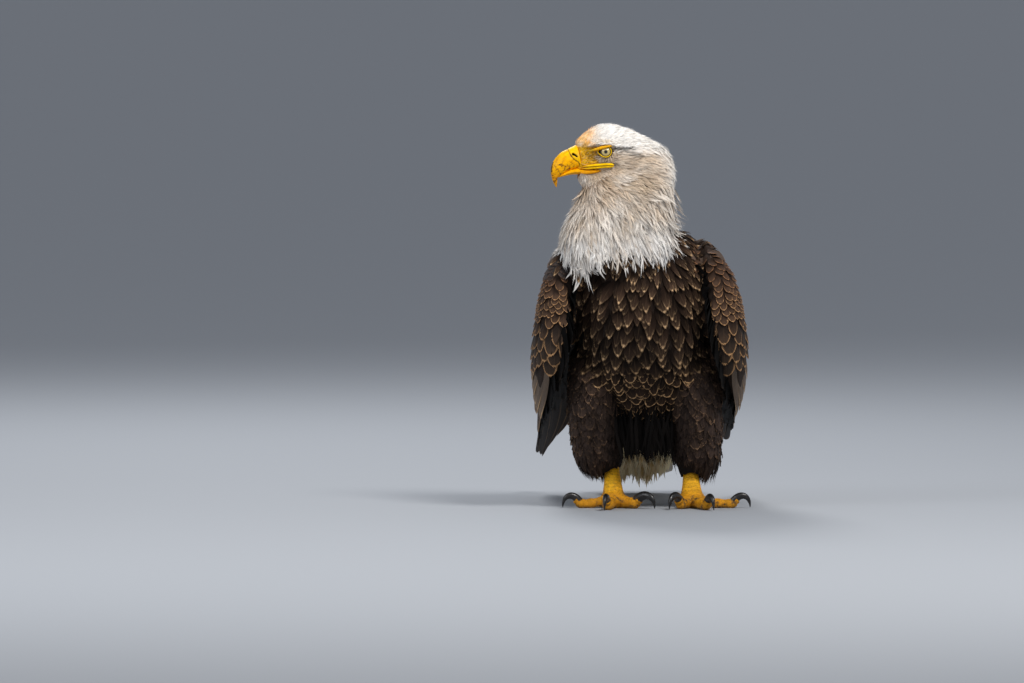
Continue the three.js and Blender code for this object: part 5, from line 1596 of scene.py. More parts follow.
# ---- bill ----------------------------------------------------------------------------------------------------
UPPER = smooth_rows([
    [0, 40, 8.6, 34, -23, 13.6], [1, 49.7, 4, 45, -25.4, 12.8], [2, 60.8, -1.3, 53.5, -28.6, 11], [3, 67.8, -8.1, 59.5, -32, 9],
    [4, 72.9, -15.8, 63.8, -34.8, 7], [5, 75.1, -24.4, 65.8, -37, 5.2], [6, 74.6, -34.4, 66.3, -40, 3.6], [7, 71.4, -43.6, 66.5, -45.6, 1.9],
    [8, 68.2, -49.6, 67.4, -49.9, 0.35]])
LOWER = smooth_rows([
    [0, 2, -18, 0, -31, 21], [1, 20, -20.2, 19, -31.8, 17.0], [2, 36, -22.0, 35, -32.2, 13.2],
    [3, 50, -25.2, 48.5, -32.8, 9.6], [4, 58.5, -29.8, 57, -34.6, 6.4], [5, 65, -33.8, 64, -36.4, 2.2]])
CERE = [(53.5, 6.5), (52.2, 3.0), (51.0, -1.0), (49.8, -4.6), (47.0, -9.0), (43.0, -12.4), (39.0, -14.6), (36.6, -18.0), (35.0, -22.5)]


def bill_part(f, last, n, m, under=0.9):
    t = np.linspace(0, last, n)
    r = f(t)
    q = np.linspace(0, 2 * math.pi, m, endpoint=False)
    up = np.sin(q)[None]
    ex = np.where(up < 0, under, 0.9)
    sidew = powr(np.cos(q)[None], 1.0) * np.abs(np.cos(q)[None]) ** (ex - 1.0 + 1e-9) * (1 - 0.22 * np.maximum(up, 0))
    sidew = np.where(np.abs(np.cos(q))[None] < 1e-6, 0, sidew)
    a = (r[:, 0:1] + r[:, 2:3]) / 2 + (r[:, 0:1] - r[:, 2:3]) / 2 * up
    c = (r[:, 1:2] + r[:, 3:4]) / 2 + (r[:, 1:2] - r[:, 3:4]) / 2 * up
    return loft(in_head(a, r[:, 4:5] * sidew, c))


def signed_line(a, c, line):
    """Distance to the line, negative on the side of the head."""
    d, s = line_distance(a, c, line)
    y = np.array([q_[1] for q_ in line])[::-1]
    x = np.array([q_[0] for q_ in line])[::-1]
    return np.where(a > np.interp(c, y, x), d, -d)


co, tri = bill_part(UPPER, 8, 190, 132, 0.72)
nr = vertex_normals(co, tri)
a_, b_, c_ = head_coords(co)
sd = signed_line(a_, c_, CERE)
on = sstep(1.0, 3.0, np.abs(b_))
lowish = sstep(5, -6, c_)
push = -0.45 * np.exp(-(sd / 0.7) ** 2) * mix(0.4, 1.0, lowish)  # the line where the cere ends
push += 0.42 * sstep(0.6, -1.4, sd) * mix(0.6, 1.0, lowish)
slit = [(46.0, -3.6), (43.6, -4.8), (40.8, -7.0)]
dn, sn = line_distance(a_, c_, slit)
wide_n = mix(1.85, 1.3, sn)
push += 0.45 * np.exp(-((dn - wide_n - 0.9) / 0.8) ** 2) * on
push -= 3.0 * sstep(wide_n, wide_n - 1.3, dn) * on
# the cutting edge has a slight festoon before the hook
push += 0.35 * np.exp(-(((a_ - 57) / 4) ** 2 + ((c_ + 33.5) / 2.2) ** 2))
grain = drift(co, 9) * 0.10 + drift(co + 7, 3.7) * 0.05
co = co + nr * (push + grain * sstep(0, 3, sd))[:, None]
me = mesh_from("bill_upper_horn", co, tri)
nz1, nz2 = 0.5 + 0.5 * drift(co, 7.0), 0.5 + 0.5 * drift(co * 1.3 + 11, 3.0)
horn = mix(np.tile(srgb(252, 180, 0), (len(co), 1)), srgb(255, 200, 4), sstep(-14, 4, c_)[:, None])
horn = mix(horn, srgb(224, 132, 6), (0.45 * sstep(0.45, 0.9, nz1))[:, None])
horn = mix(horn, srgb(214, 138, 10), (0.65 * sstep(-26, -36, c_))[:, None])
col = mix(horn, srgb(255, 198, 0), sstep(0.5, -0.5, sd)[:, None])
col = mix(col, srgb(198, 150, 32), (0.5 * sstep(-3, -9, sd) * lowish)[:, None])
line_ = np.exp(-((sd + 0.3) / 0.9) ** 2) * mix(0.55, 1.0, lowish) * (0.55 + 0.6 * nz1)
col = mix(col, srgb(96, 56, 18), line_[:, None].clip(0, 1))
# painted shade: the inside of the nostril slit is near black
col = mix(col, srgb(20, 12, 8), (sstep(wide_n + 0.2, wide_n - 0.5, dn) * on)[:, None])
dirt = (0.30 + 0.34 * sstep(-4, -20, c_)) * sstep(1, 6, sd) * (0.45 + 0.9 * nz1)
dirt = np.maximum(dirt, 0.85 * sstep(-27.5, -31.5, c_) * sstep(44, 48, a_) * sstep(68, 62, a_) * (0.5 + 0.6 * nz1))
dirt = np.maximum(dirt, 0.95 * np.exp(-(line_distance(a_, c_, [(73.6, -15.5), (75.2, -21), (75.2, -27.5)])[0] / 2.5) ** 2) * (0.9 + 0.6 * nz2))
dirt = np.maximum(dirt, 0.6 * np.exp(-(line_distance(a_, c_, [(70.5, -11.5), (71.5, -14)])[0] / 1.2) ** 2))
dirt = np.maximum(dirt, 0.8 * np.exp(-(line_distance(a_, c_, [(56, -25.5), (48, -27.5), (46, -31)])[0] / 1.9) ** 2) * nz1)
dirt = np.maximum(dirt, 0.62 * np.exp(-(line_distance(a_, c_, [(71, -33), (70, -40)])[0] / 2.0) ** 2))
dirt = np.maximum(dirt, 0.42 * sstep(0, -8, sd) * lowish * (0.5 + nz2))
dirt = np.maximum(dirt, 0.6 * np.exp(-(sd / 1.6) ** 2) * lowish)
put_colour(me, "Tint", col, dirt.clip(0, 1))


def horn_material(name, specks=1.0):
    n = plain_material(name, None, 0.42, 0.0, 0.14)
    at_ = n.new("ShaderNodeAttribute", attribute_name="Tint")
    obc = n.object_coords()
    broad = n.noise(obc, 160.0, 3.0, 0.6, 0.3)
    fine = n.noise(obc, 1500.0, 4.0, 0.65, 0.6)
    spots = n.noise(obc, 820.0, 2.0, 0.5, 0.2)
    tone = n.range(broad, 0.3, 0.7, 0.86, 1.12)
    sh = n.new("ShaderNodeCombineXYZ")
    for i, k_ in enumerate((1.0, 1.0, 0.7)):
        n.put(sh.inputs[i], tone)
    col = n.mixc(1.0, at_.outputs["Color"], sh.outputs[0], "MULTIPLY")
    thresh = n.math("SUBTRACT", 0.92, n.math("MULTIPLY", at_.outputs["Alpha"], 0.52))
    mask = n.math("DIVIDE", n.math("SUBTRACT", n.math("ADD", n.math("MULTIPLY", spots, 0.75), n.math("MULTIPLY", fine, 0.35)), thresh), 0.05, clamp=True)
    mask = n.math("MULTIPLY", mask, n.range(at_.outputs["Alpha"], 0.01, 0.12), clamp=True)
    col = n.mixc(n.math("MULTIPLY", mask, 0.88 * specks), col, (0.030, 0.018, 0.012))
    n.put(n.bsdf.inputs["Base Color"], col)
    n.put(n.bsdf.inputs["Roughness"], n.math("ADD", n.range(fine, 0.3, 0.7, 0.26, 0.44), n.math("MULTIPLY", mask, 0.3)))
    n.bump(n.math("ADD", n.math("MULTIPLY", fine, 0.6), n.math("MULTIPLY", broad, 0.8)), 0.25, 0.0006)
    return n.mat


m_horn = horn_material("horn_yellow")
bill_upper = add_object(me, m_horn)
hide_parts("bill_upper")

co, tri = bill_part(LOWER, 5, 90, 72, 0.8)
nr = vertex_normals(co, tri)
a_, b_, c_ = head_coords(co)
co = co + nr * (0.08 * drift(co, 6) - 0.35 * np.exp(-((c_ + 24.2 + 0.06 * (a_ - 20)) / 0.8) ** 2) * (a_ < 40))[:, None]
me = mesh_from("bill_lower_horn", co, tri)
col = mix(np.tile(srgb(240, 168, 4), (len(co), 1)), srgb(206, 124, 10), (sstep(-27, -31, c_) * sstep(48, 30, a_))[:, None])
col = mix(col, srgb(150, 84, 30), (0.7 * np.exp(-((c_ + 25.0) / 1.4) ** 2) * sstep(40, 20, a_))[:, None])
dirt = 0.45 * sstep(30, 46, a_) + 0.25 * sstep(16, 10, a_)
put_colour(me, "Tint", col, dirt.clip(0, 1))
bill_lower = add_object(me, m_horn)
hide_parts("bill_lower")

for s, nm in ((1, "left"), (-1, "right")):
    parts = []
    upper_lip = [[37, 13.0, -21.8], [24, 18.0, -19.9], [10, 23.8, -18.5], [-2, 28.8, -17.8], [-8.5, 31.2, -18.7]]
    lower_lip = [[37, 12.2, -24.0], [24, 17.6, -23.1], [10, 23.6, -21.6], [-2, 28.6, -20.7], [-8.5, 30.8, -20.0]]
    for line, r0, r1 in ((upper_lip, 1.7, 2.15), (lower_lip, 1.7, 1.55)):
        pts, dr = curve(in_head(*(np.array(line) * [1, s, 1]).T), 60)
        tt_ = np.linspace(0, 1, 60)
        rad = mix(r0, r1, tt_) * np.sqrt(np.clip((1 - tt_) / 0.06, 0.02, 1)) * sstep(-0.05, 0.42, tt_) * (1 + 0.06 * np.sin(tt_ * 31 + 2 * np.sin(tt_ * 9)))
        parts.append(tube(pts, dr, rad, 22, 1.0, 1.25))
    # the skin inside the corner of the mouth
    pts, dr = curve(in_head(*(np.array([[37, 10.8, -23.6], [24, 15.8, -22.6], [10, 21.5, -20.8], [-6, 27.8, -19.4]]) * [1, s, 1]).T), 30)
    parts.append(tube(pts, dr, 2.4 * sstep(-0.1, 0.3, np.linspace(0, 1, 30)), 16))
    # the jaw's edge runs on from the lower bill and ends in the feathers
    pts, dr = curve(in_head(*(np.array([[36, 11.4, -29.6], [28, 14.2, -29.0], [20, 17.0, -28.2], [13, 19.2, -27.2], [8, 20.8, -26.4]]) * [1, s, 1]).T), 40)
    parts.append(tube(pts, dr, np.interp(np.linspace(0, 1, 40), [0, 0.25, 0.6, 0.9, 1], [0.6, 2.1, 2.3, 1.2, 0.25]), 20, 1.15, 0.9))
    co, tri = merge(parts)
    me = mesh_from("lips_" + nm, co, tri)
    a_, b_, c_ = head_coords(co)
    mouth = np.interp(a_, [-9, -2, 10, 24, 37, 46], [-19.4, -19.3, -20.2, -21.6, -22.9, -24.5])
    col = mix(np.tile(srgb(252, 200, 4), (len(co), 1)), srgb(232, 160, 8), sstep(24, 36, a_)[:, None])
    col = mix(col, srgb(232, 156, 10), (sstep(2.2, 3.6, mouth - c_))[:, None])
    col = mix(col, srgb(126, 76, 24), (0.85 * np.exp(-((c_ - mouth) / 0.75) ** 2))[:, None])
    put_colour(me, "Tint", col, np.full(len(co), 0.3))
    lips = add_object(me, m_horn)
    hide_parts("gape_" + nm)

# ---- eyes, lids and brow ---------------------------------------------------------------------------------------
n = plain_material("eye_iris", None, 0.3, 1.0, 0.5)
n.bsdf.inputs["Coat Roughness"].default_value = 0.03
sep = n.new("ShaderNodeSeparateXYZ")
n.link(n.attr("Eye", "Vector"), sep.inputs[0])
ring = n.new("ShaderNodeCombineXYZ")
n.put(ring.inputs[0], sep.outputs[1])
n.put(ring.inputs[1], sep.outputs[2])
n.put(ring.inputs[2], n.math("MULTIPLY", sep.outputs[0], 0.05))
rays = n.noise(ring.outputs[0], 11.0, 3.0, 0.7)
blot = n.noise(ring.outputs[0], 2.5, 1.0, 0.5)
r_ = sep.outputs[0]
iris = n.mixc(n.range(rays, 0.3, 0.7), tuple(srgb(226, 206, 128)), tuple(srgb(172, 148, 92)))
iris = n.mixc(n.range(r_, 2.4, 3.5, 0.5, 0.0), iris, tuple(srgb(120, 100, 70)))
iris = n.mixc(n.range(r_, 4.7, 5.9, 0.0, 0.6), iris, tuple(srgb(140, 112, 50)))
col = n.mixc(n.range(r_, 5.8, 6.2), iris, (0.010, 0.008, 0.007))
col = n.mixc(n.range(r_, 2.15, 2.4, 1.0, 0.0), col, (0.001, 0.001, 0.002))
n.put(n.bsdf.inputs["Base Color"], col)
n.bump(rays, 0.15, 0.0003)
m_eye = n.mat

m_lid = horn_material("lid_skin", 0.6)


def skin_out(origin, direction, reach=60.0):
    """How far along direction from origin the skin lies, seen from outside."""
    start = Vector(origin + direction * reach)
    h = skin_tree.ray_cast(start, Vector(-direction), reach * 1.6)
    return reach - h[3] if h[0] is not None else 0.0


for s, nm in ((1, "left"), (-1, "right")):
    C = EYES[s]
    ph = math.radians(11)
    G = LEFT * s * math.cos(ph) + FWD * math.sin(ph)
    e1 = FWD * math.cos(ph) - LEFT * s * math.sin(ph)
    th = np.concatenate([np.linspace(0.004, math.asin(8.9 / EYE_R), 66), np.linspace(math.asin(8.9 / EYE_R) + 0.02, math.radians(170), 8)])
    q = np.linspace(0, 2 * math.pi, 96, endpoint=False)
    R = EYE_R - 0.02 + 0.55 * np.exp(-(th / 0.42) ** 2)
    R = np.where(th > math.asin(8.9 / EYE_R) + 0.01, 7.2, R)
    rr = (R * np.sin(th))[:, None]
    rings = (C + G * (R * np.cos(th))[:, None, None] + e1 * (rr * np.cos(q))[..., None] + UP * (rr * np.sin(q))[..., None])
    co, tri = loft(rings)
    me = mesh_from("eyeball_" + nm, co, tri)
    ev = np.concatenate([np.stack([rr * np.ones_like(q), np.cos(q) * np.ones_like(rr), np.sin(q) * np.ones_like(rr)], -1).reshape(-1, 3),
                         [[0, 1, 0], [20, 1, 0]]])
    put_points(me, "Eye", ev, "FLOAT_VECTOR")
    eye = add_object(me, m_eye)
    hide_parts("eye_" + nm)

    # lids: rings round the opening
    nq = 150
    q = np.linspace(-math.pi, math.pi, nq, endpoint=False)
    front = np.exp(-(np.abs(q) / 0.36) ** 2)
    rim = 7.6 - 0.6 * np.sin(q) ** 2 + 2.7 * front
    hs = lambda r: np.sqrt(np.maximum(EYE_R**2 - (0.84 * r) ** 2, 2.0))
    ball = lambda r: np.sqrt(np.maximum(EYE_R**2 - r**2, 6.0))
    steps_ = [(-4.2, None), (-1.3, None), (-0.15, None), (0.75, 0.9), (1.7, 0.7), (2.9, 0.0), (4.4, -0.9)]
    ctrl = []
    for k_, (dr_, dh) in enumerate(steps_):
        r = rim + dr_ * (1 - 0.25 * front)
        x, y = 0.4 + r * np.cos(q), 0.1 + r * np.sin(q)
        rc = np.hypot(x, y)
        if k_ == 0:
            h = ball(rc) - 3.0
        elif k_ == 1:
            h = ball(rc) - 0.5
        elif k_ == 2:
            h = hs(rc) + 0.05
        else:
            sk = np.array([skin_out(C + e1 * xi + UP * yi, G) for xi, yi in zip(x, y)])
            if k_ >= 4:
                sk = np.convolve(np.concatenate([sk[-4:], sk, sk[:4]]), np.ones(9) / 9, "valid")
            want = hs(rc) + dh
            blend = [0, 0, 0, 0.0, 0.3, 0.85, 1.0][k_]
            h = np.maximum(mix(want, sk + (0.7 if k_ < 6 else -0.8), blend), 0.0 if k_ < 6 else -9.0)
        ctrl.append(np.stack([x, y, h], -1))
    f = smooth_rows(np.concatenate([np.arange(-1, 6)[:, None], np.array(ctrl).reshape(7, -1)], 1))
    lv = np.concatenate([[-1.0], np.linspace(0, 5, 36)[:]])
    NL = len(lv)
    g = f(lv).reshape(NL, nq, 3)
    fold = 0.10 * np.sin(lv * 9)[:, None] * sstep(1.6, 2.4, lv)[:, None] * (0.6 + 0.4 * np.sin(3 * q))[None]
    pts = C + e1 * g[..., 0:1] + UP * g[..., 1:2] + G * (g[..., 2:3] + fold[..., None])
    i, j = np.meshgrid(np.arange(NL - 1), np.arange(nq), indexing="ij")
    A, B = i * nq + j, i * nq + (j + 1) % nq
    tri = np.concatenate([np.stack([A, B, B + nq], -1).reshape(-1, 3), np.stack([A, B + nq, A + nq], -1).reshape(-1, 3)])
    if s < 0:
        tri = tri[:, ::-1]
    co = pts.reshape(-1, 3)
    me = mesh_from("lids_" + nm, co, tri)
    L = np.repeat(lv, nq)
    Q = np.tile(q, NL)
    col = mix(np.tile(srgb(252, 204, 8), (len(co), 1)), srgb(216, 160, 30), sstep(2.2, 3.6, L)[:, None])
    fr = np.exp(-(Q / 0.5) ** 2)
    col = mix(col, srgb(150, 128, 60), (0.6 * fr * sstep(2.6, 3.6, L))[:, None])
    col = mix(col, srgb(168, 142, 112), (0.85 * sstep(2.6, 3.6, L))[:, None])
    # painted shade: the lid's inner wall, tucked against the eyeball, is near black
    col = mix(col, srgb(16, 12, 10), sstep(1.25, 0.85, L)[:, None])
    put_colour(me, "Tint", col, np.full(len(co), 0.12))
    lids = add_object(me, m_lid)

    # the smallest feathers grow right up to the lids and close the hollow round them
    q2 = np.concatenate([np.linspace(-math.pi, math.pi, 84, endpoint=False) + k_ * 0.03 for k_ in range(4)])
    lv2 = np.repeat([2.7, 3.2, 3.8, 4.5], 84) + 0.25 * RNG.normal(0, 1, 336).clip(-1, 1)
    keep_ = np.abs(np.angle(np.exp(1j * q2))) > 0.80 + 0.15 * any_(len(q2))
    q2, lv2 = q2[keep_], lv2[keep_]
    gi = ((q2 + math.pi) / (2 * math.pi) * nq).astype(int) % nq
    row = np.clip(np.searchsorted(lv, lv2), 1, NL - 1)
    S_ = pts[row, gi]
    turn = q2 + 0.30 * np.sin(q2 - math.pi) + 0.16 * RNG.normal(0, 1, len(q2))
    r2 = rim[gi] + 3.0 + 1.4 * (lv2 - 2.0) + 3.6 + 3.0 * any_(len(q2))
    x2, y2 = 0.4 + r2 * np.cos(turn), 0.1 + r2 * np.sin(turn)
    E_ = np.array([C + e1 * xi + UP * yi + G * (skin_out(C + e1 * xi + UP * yi, G) + 1.3) for xi, yi in zip(x2, y2)])
    u_ = np.linspace(0, 1, 5)
    Pl = S_[:, None] + (E_ - S_)[:, None] * u_[None, :, None] + G * (1.1 * np.sin(np.pi * u_ * 0.8) + 0.4)[None, :, None]
    out_ = unit(e1 * np.cos(q2)[:, None] + UP * np.sin(q2)[:, None])
    Ml = np.repeat(unit(G + 0.8 * out_)[:, None], 5, 1)
    len2 = np.linalg.norm(np.diff(Pl, axis=1), axis=2).sum(1)
    ok_ = len2 < 17
    Pl, Ml, len2 = Pl[ok_], Ml[ok_], len2[ok_]
    hit = [skin_tree.find_nearest(q_) for q_ in Pl[:, 2].tolist()]
    tint = mix(white_tint(Pl[:, 3]), srgb(206, 182, 148), 0.6)
    # the lid feathers darkened along the face lines: painted shadow behind the eye and before the brow strip, and the
    # dark streaks
    tint = tint * (1 - 0.75 * face_streaks_and_painted_shadow(Pl[:, 3])[:, None]) * (0.85 + 0.25 * any_(len(Pl)))[:, None]
    feathers("coat_lids_" + nm, plume(3, lance(0.40, 0.8), 0.2), Pl, Ml, len2, 0.9 + 0.5 * any_(len(Pl)), root_uv(np.array([tuple(h_[0]) for h_ in hit]), np.array([h_[2] for h_ in hit])),
             tint, tint, np.zeros(len(Pl)), m_white, 93, rag=0.05, camber=0.2, bend=normal(len(Pl), 0.08), curl=normal(len(Pl), 0.03), split=0.0,
             root_tint=(0.9, 0.87, 0.82), slot="white_feather", fan=0.5)

    # the bare edge of the brow, which juts over the eye
    brow3 = [[26, 18.6, 0.6], [20, 23.2, 2.2], [14, 26.8, 3.9], [8, 29.4, 5.7], [2.5, 31.2, 7.0], [-1.5, 32.2, 7.9], [-5.0, 32.4, 7.6]]
    bp, bd = curve(in_head(*(np.array(brow3) * [1, s, 1]).T), 70)
    tt_ = np.linspace(0, 1, 70)
    rad = 2.35 * np.sin(np.pi * (0.04 + 0.93 * tt_ ** 1.2)) ** 0.7 * (1 + 0.05 * np.sin(tt_ * 60))
    co, tri = tube(bp, bd, rad, 24, 0.95, 1.35)
    me = mesh_from("brow_" + nm, co, tri)
    a_, b_, c_ = head_coords(co)
    col = mix(np.tile(srgb(244, 176, 20), (len(co), 1)), srgb(206, 166, 40), sstep(14, 24, a_)[:, None])
    put_colour(me, "Tint", col, np.full(len(co), 0.10))
    brow = add_object(me, m_lid)

# ---- lores: sparse bristles over bare skin -------------------------------------------------------------------------
p, w, nn, ff = place((w_head > 0.4) & (fa > 8) & (fa < 42) & (fc > -19) & (fc < 8) & (np.abs(fb) > 6), 1.5, 91, 5.0, 0)
ha, hb, hc = head_coords(p)
k_ = bare(p) & (almond(ha, hc) > 1.35) & (ha < 39 - 0.3 * np.maximum(hc, 0)) & (any_(len(p)) < 0.6)
p, w, nn, ff, ha, hb, hc = p[k_], w[k_], nn[k_], ff[k_], ha[k_], hb[k_], hc[k_]
t = lie(p, w, nn) + (UP * 0.55 - FWD * 0.2) + 0.35 * RNG.normal(0, 1, p.shape)
t = unit(t - (t * nn).sum(1, keepdims=True) * nn)
length = 3.6 + 3.2 * any_(len(p))
P, M = lay_down(p, nn, t, length, 0.7 + 0.9 * any_(len(p)), 0.4, steps=3)
pick = any_(len(p))[:, None]
tint = np.where(pick < 0.35, srgb(226, 204, 150), np.where(pick < 0.72, srgb(178, 132, 36), srgb(92, 68, 34)))
feathers("coat_lores", vane(3, lance(0.3, 0.8), (0.6,)), P, M, length, np.full(len(p), 0.28), root_uv(p, ff), tint, tint, np.zeros(len(p)), m_white, 92,
         rag=0.05, camber=0.2, bend=normal(len(p), 0.1), curl=normal(len(p), 0.05), split=0.0, root_tint=(0.8, 0.75, 0.6), slot="white_feather")

# ---- feet ------------------------------------------------------------------------------------------------------------
FEET = {-1: (-37.0, 4.0), 1: (73.0, 2.0)}
TOES = {-1: [(1, 190, 30, 8.6, 37, 5.2, 2), (2, -56, 42, 8.6, 33, 5.0, 2), (3, 9, 62, 8.2, 29, 4.5, 3), (4, 84, 52, 7.0, 25, 3.9, 3)],
        1: [(1, 186, 30, 8.6, 37, 5.2, 2), (2, -30, 38, 8.6, 33, 5.0, 2), (3, 20, 62, 8.2, 29, 4.5, 3), (4, 86, 62, 7.0, 25, 3.9, 3)]}

n = plain_material("foot_skin", None, 0.55, 0.0, 0.28)
at_ = n.new("ShaderNodeAttribute", attribute_name="Tint")
obc = n.object_coords()
warp = n.new("ShaderNodeVectorMath", operation="ADD")
nv = n.new("ShaderNodeTexNoise")
n.put(nv.inputs["Vector"], obc)
nv.inputs["Scale"].default_value = 220.0
sc = n.new("ShaderNodeVectorMath", operation="SCALE")
n.link(nv.outputs["Color"], sc.inputs[0])
sc.inputs["Scale"].default_value = 0.0016
n.link(obc, warp.inputs[0])
n.link(sc.outputs[0], warp.inputs[1])
cells = n.voronoi(warp.outputs[0], 560.0)
small = n.voronoi(warp.outputs[0], 900.0)
grit = n.noise(obc, 1500.0, 3.0, 0.6)
blot = n.noise(obc, 130.0, 3.0, 0.6)
crease = n.range(cells, 0.0, 0.10, 1.0, 0.0)
tone = n.range(blot, 0.3, 0.7, 0.80, 1.15)
sh = n.new("ShaderNodeCombineXYZ")
for i in range(3):
    n.put(sh.inputs[i], tone)
col = n.mixc(1.0, at_.outputs["Color"], sh.outputs[0], "MULTIPLY")
col = n.mixc(n.math("MULTIPLY", crease, 0.34), col, tuple(srgb(110, 66, 20)))
dirt = n.math("MULTIPLY", n.range(n.noise(obc, 75.0, 5.0, 0.7), 0.52, 0.66), at_.outputs["Alpha"], clamp=True)
col = n.mixc(dirt, col, tuple(srgb(66, 54, 40)))
n.put(n.bsdf.inputs["Base Color"], col)
hgt = n.math("ADD", n.range(cells, 0.0, 0.22, 0.0, 1.0), n.math("MULTIPLY", grit, 0.18))
hgt = n.math("ADD", hgt, n.math("MULTIPLY", n.range(small, 0.0, 0.3), 0.18))
n.bump(hgt, 0.6, 0.0009)
n.put(n.bsdf.inputs["Roughness"], n.range(grit, 0.3, 0.7, 0.42, 0.62))
m_foot = n.mat

n = plain_material("claw_horn", None, 0.3, 0.15, 0.4)
obc = n.object_coords()
at_ = n.attr("Tint")
st_ = n.noise(obc, 700.0, 4.0, 0.7, 1.5)
bl_ = n.noise(obc, 140.0, 3.0, 0.6)
col = n.mixc(n.range(bl_, 0.5, 0.8, 0.0, 0.6), at_, tuple(srgb(70, 65, 60)))
col = n.mixc(n.range(st_, 0.58, 0.78, 0.0, 0.35), col, tuple(srgb(96, 88, 76)))
n.put(n.bsdf.inputs["Base Color"], col)
n.put(n.bsdf.inputs["Roughness"], n.range(st_, 0.3, 0.7, 0.2, 0.42))
n.bump(st_, 0.3, 0.0005)
m_claw = n.mat

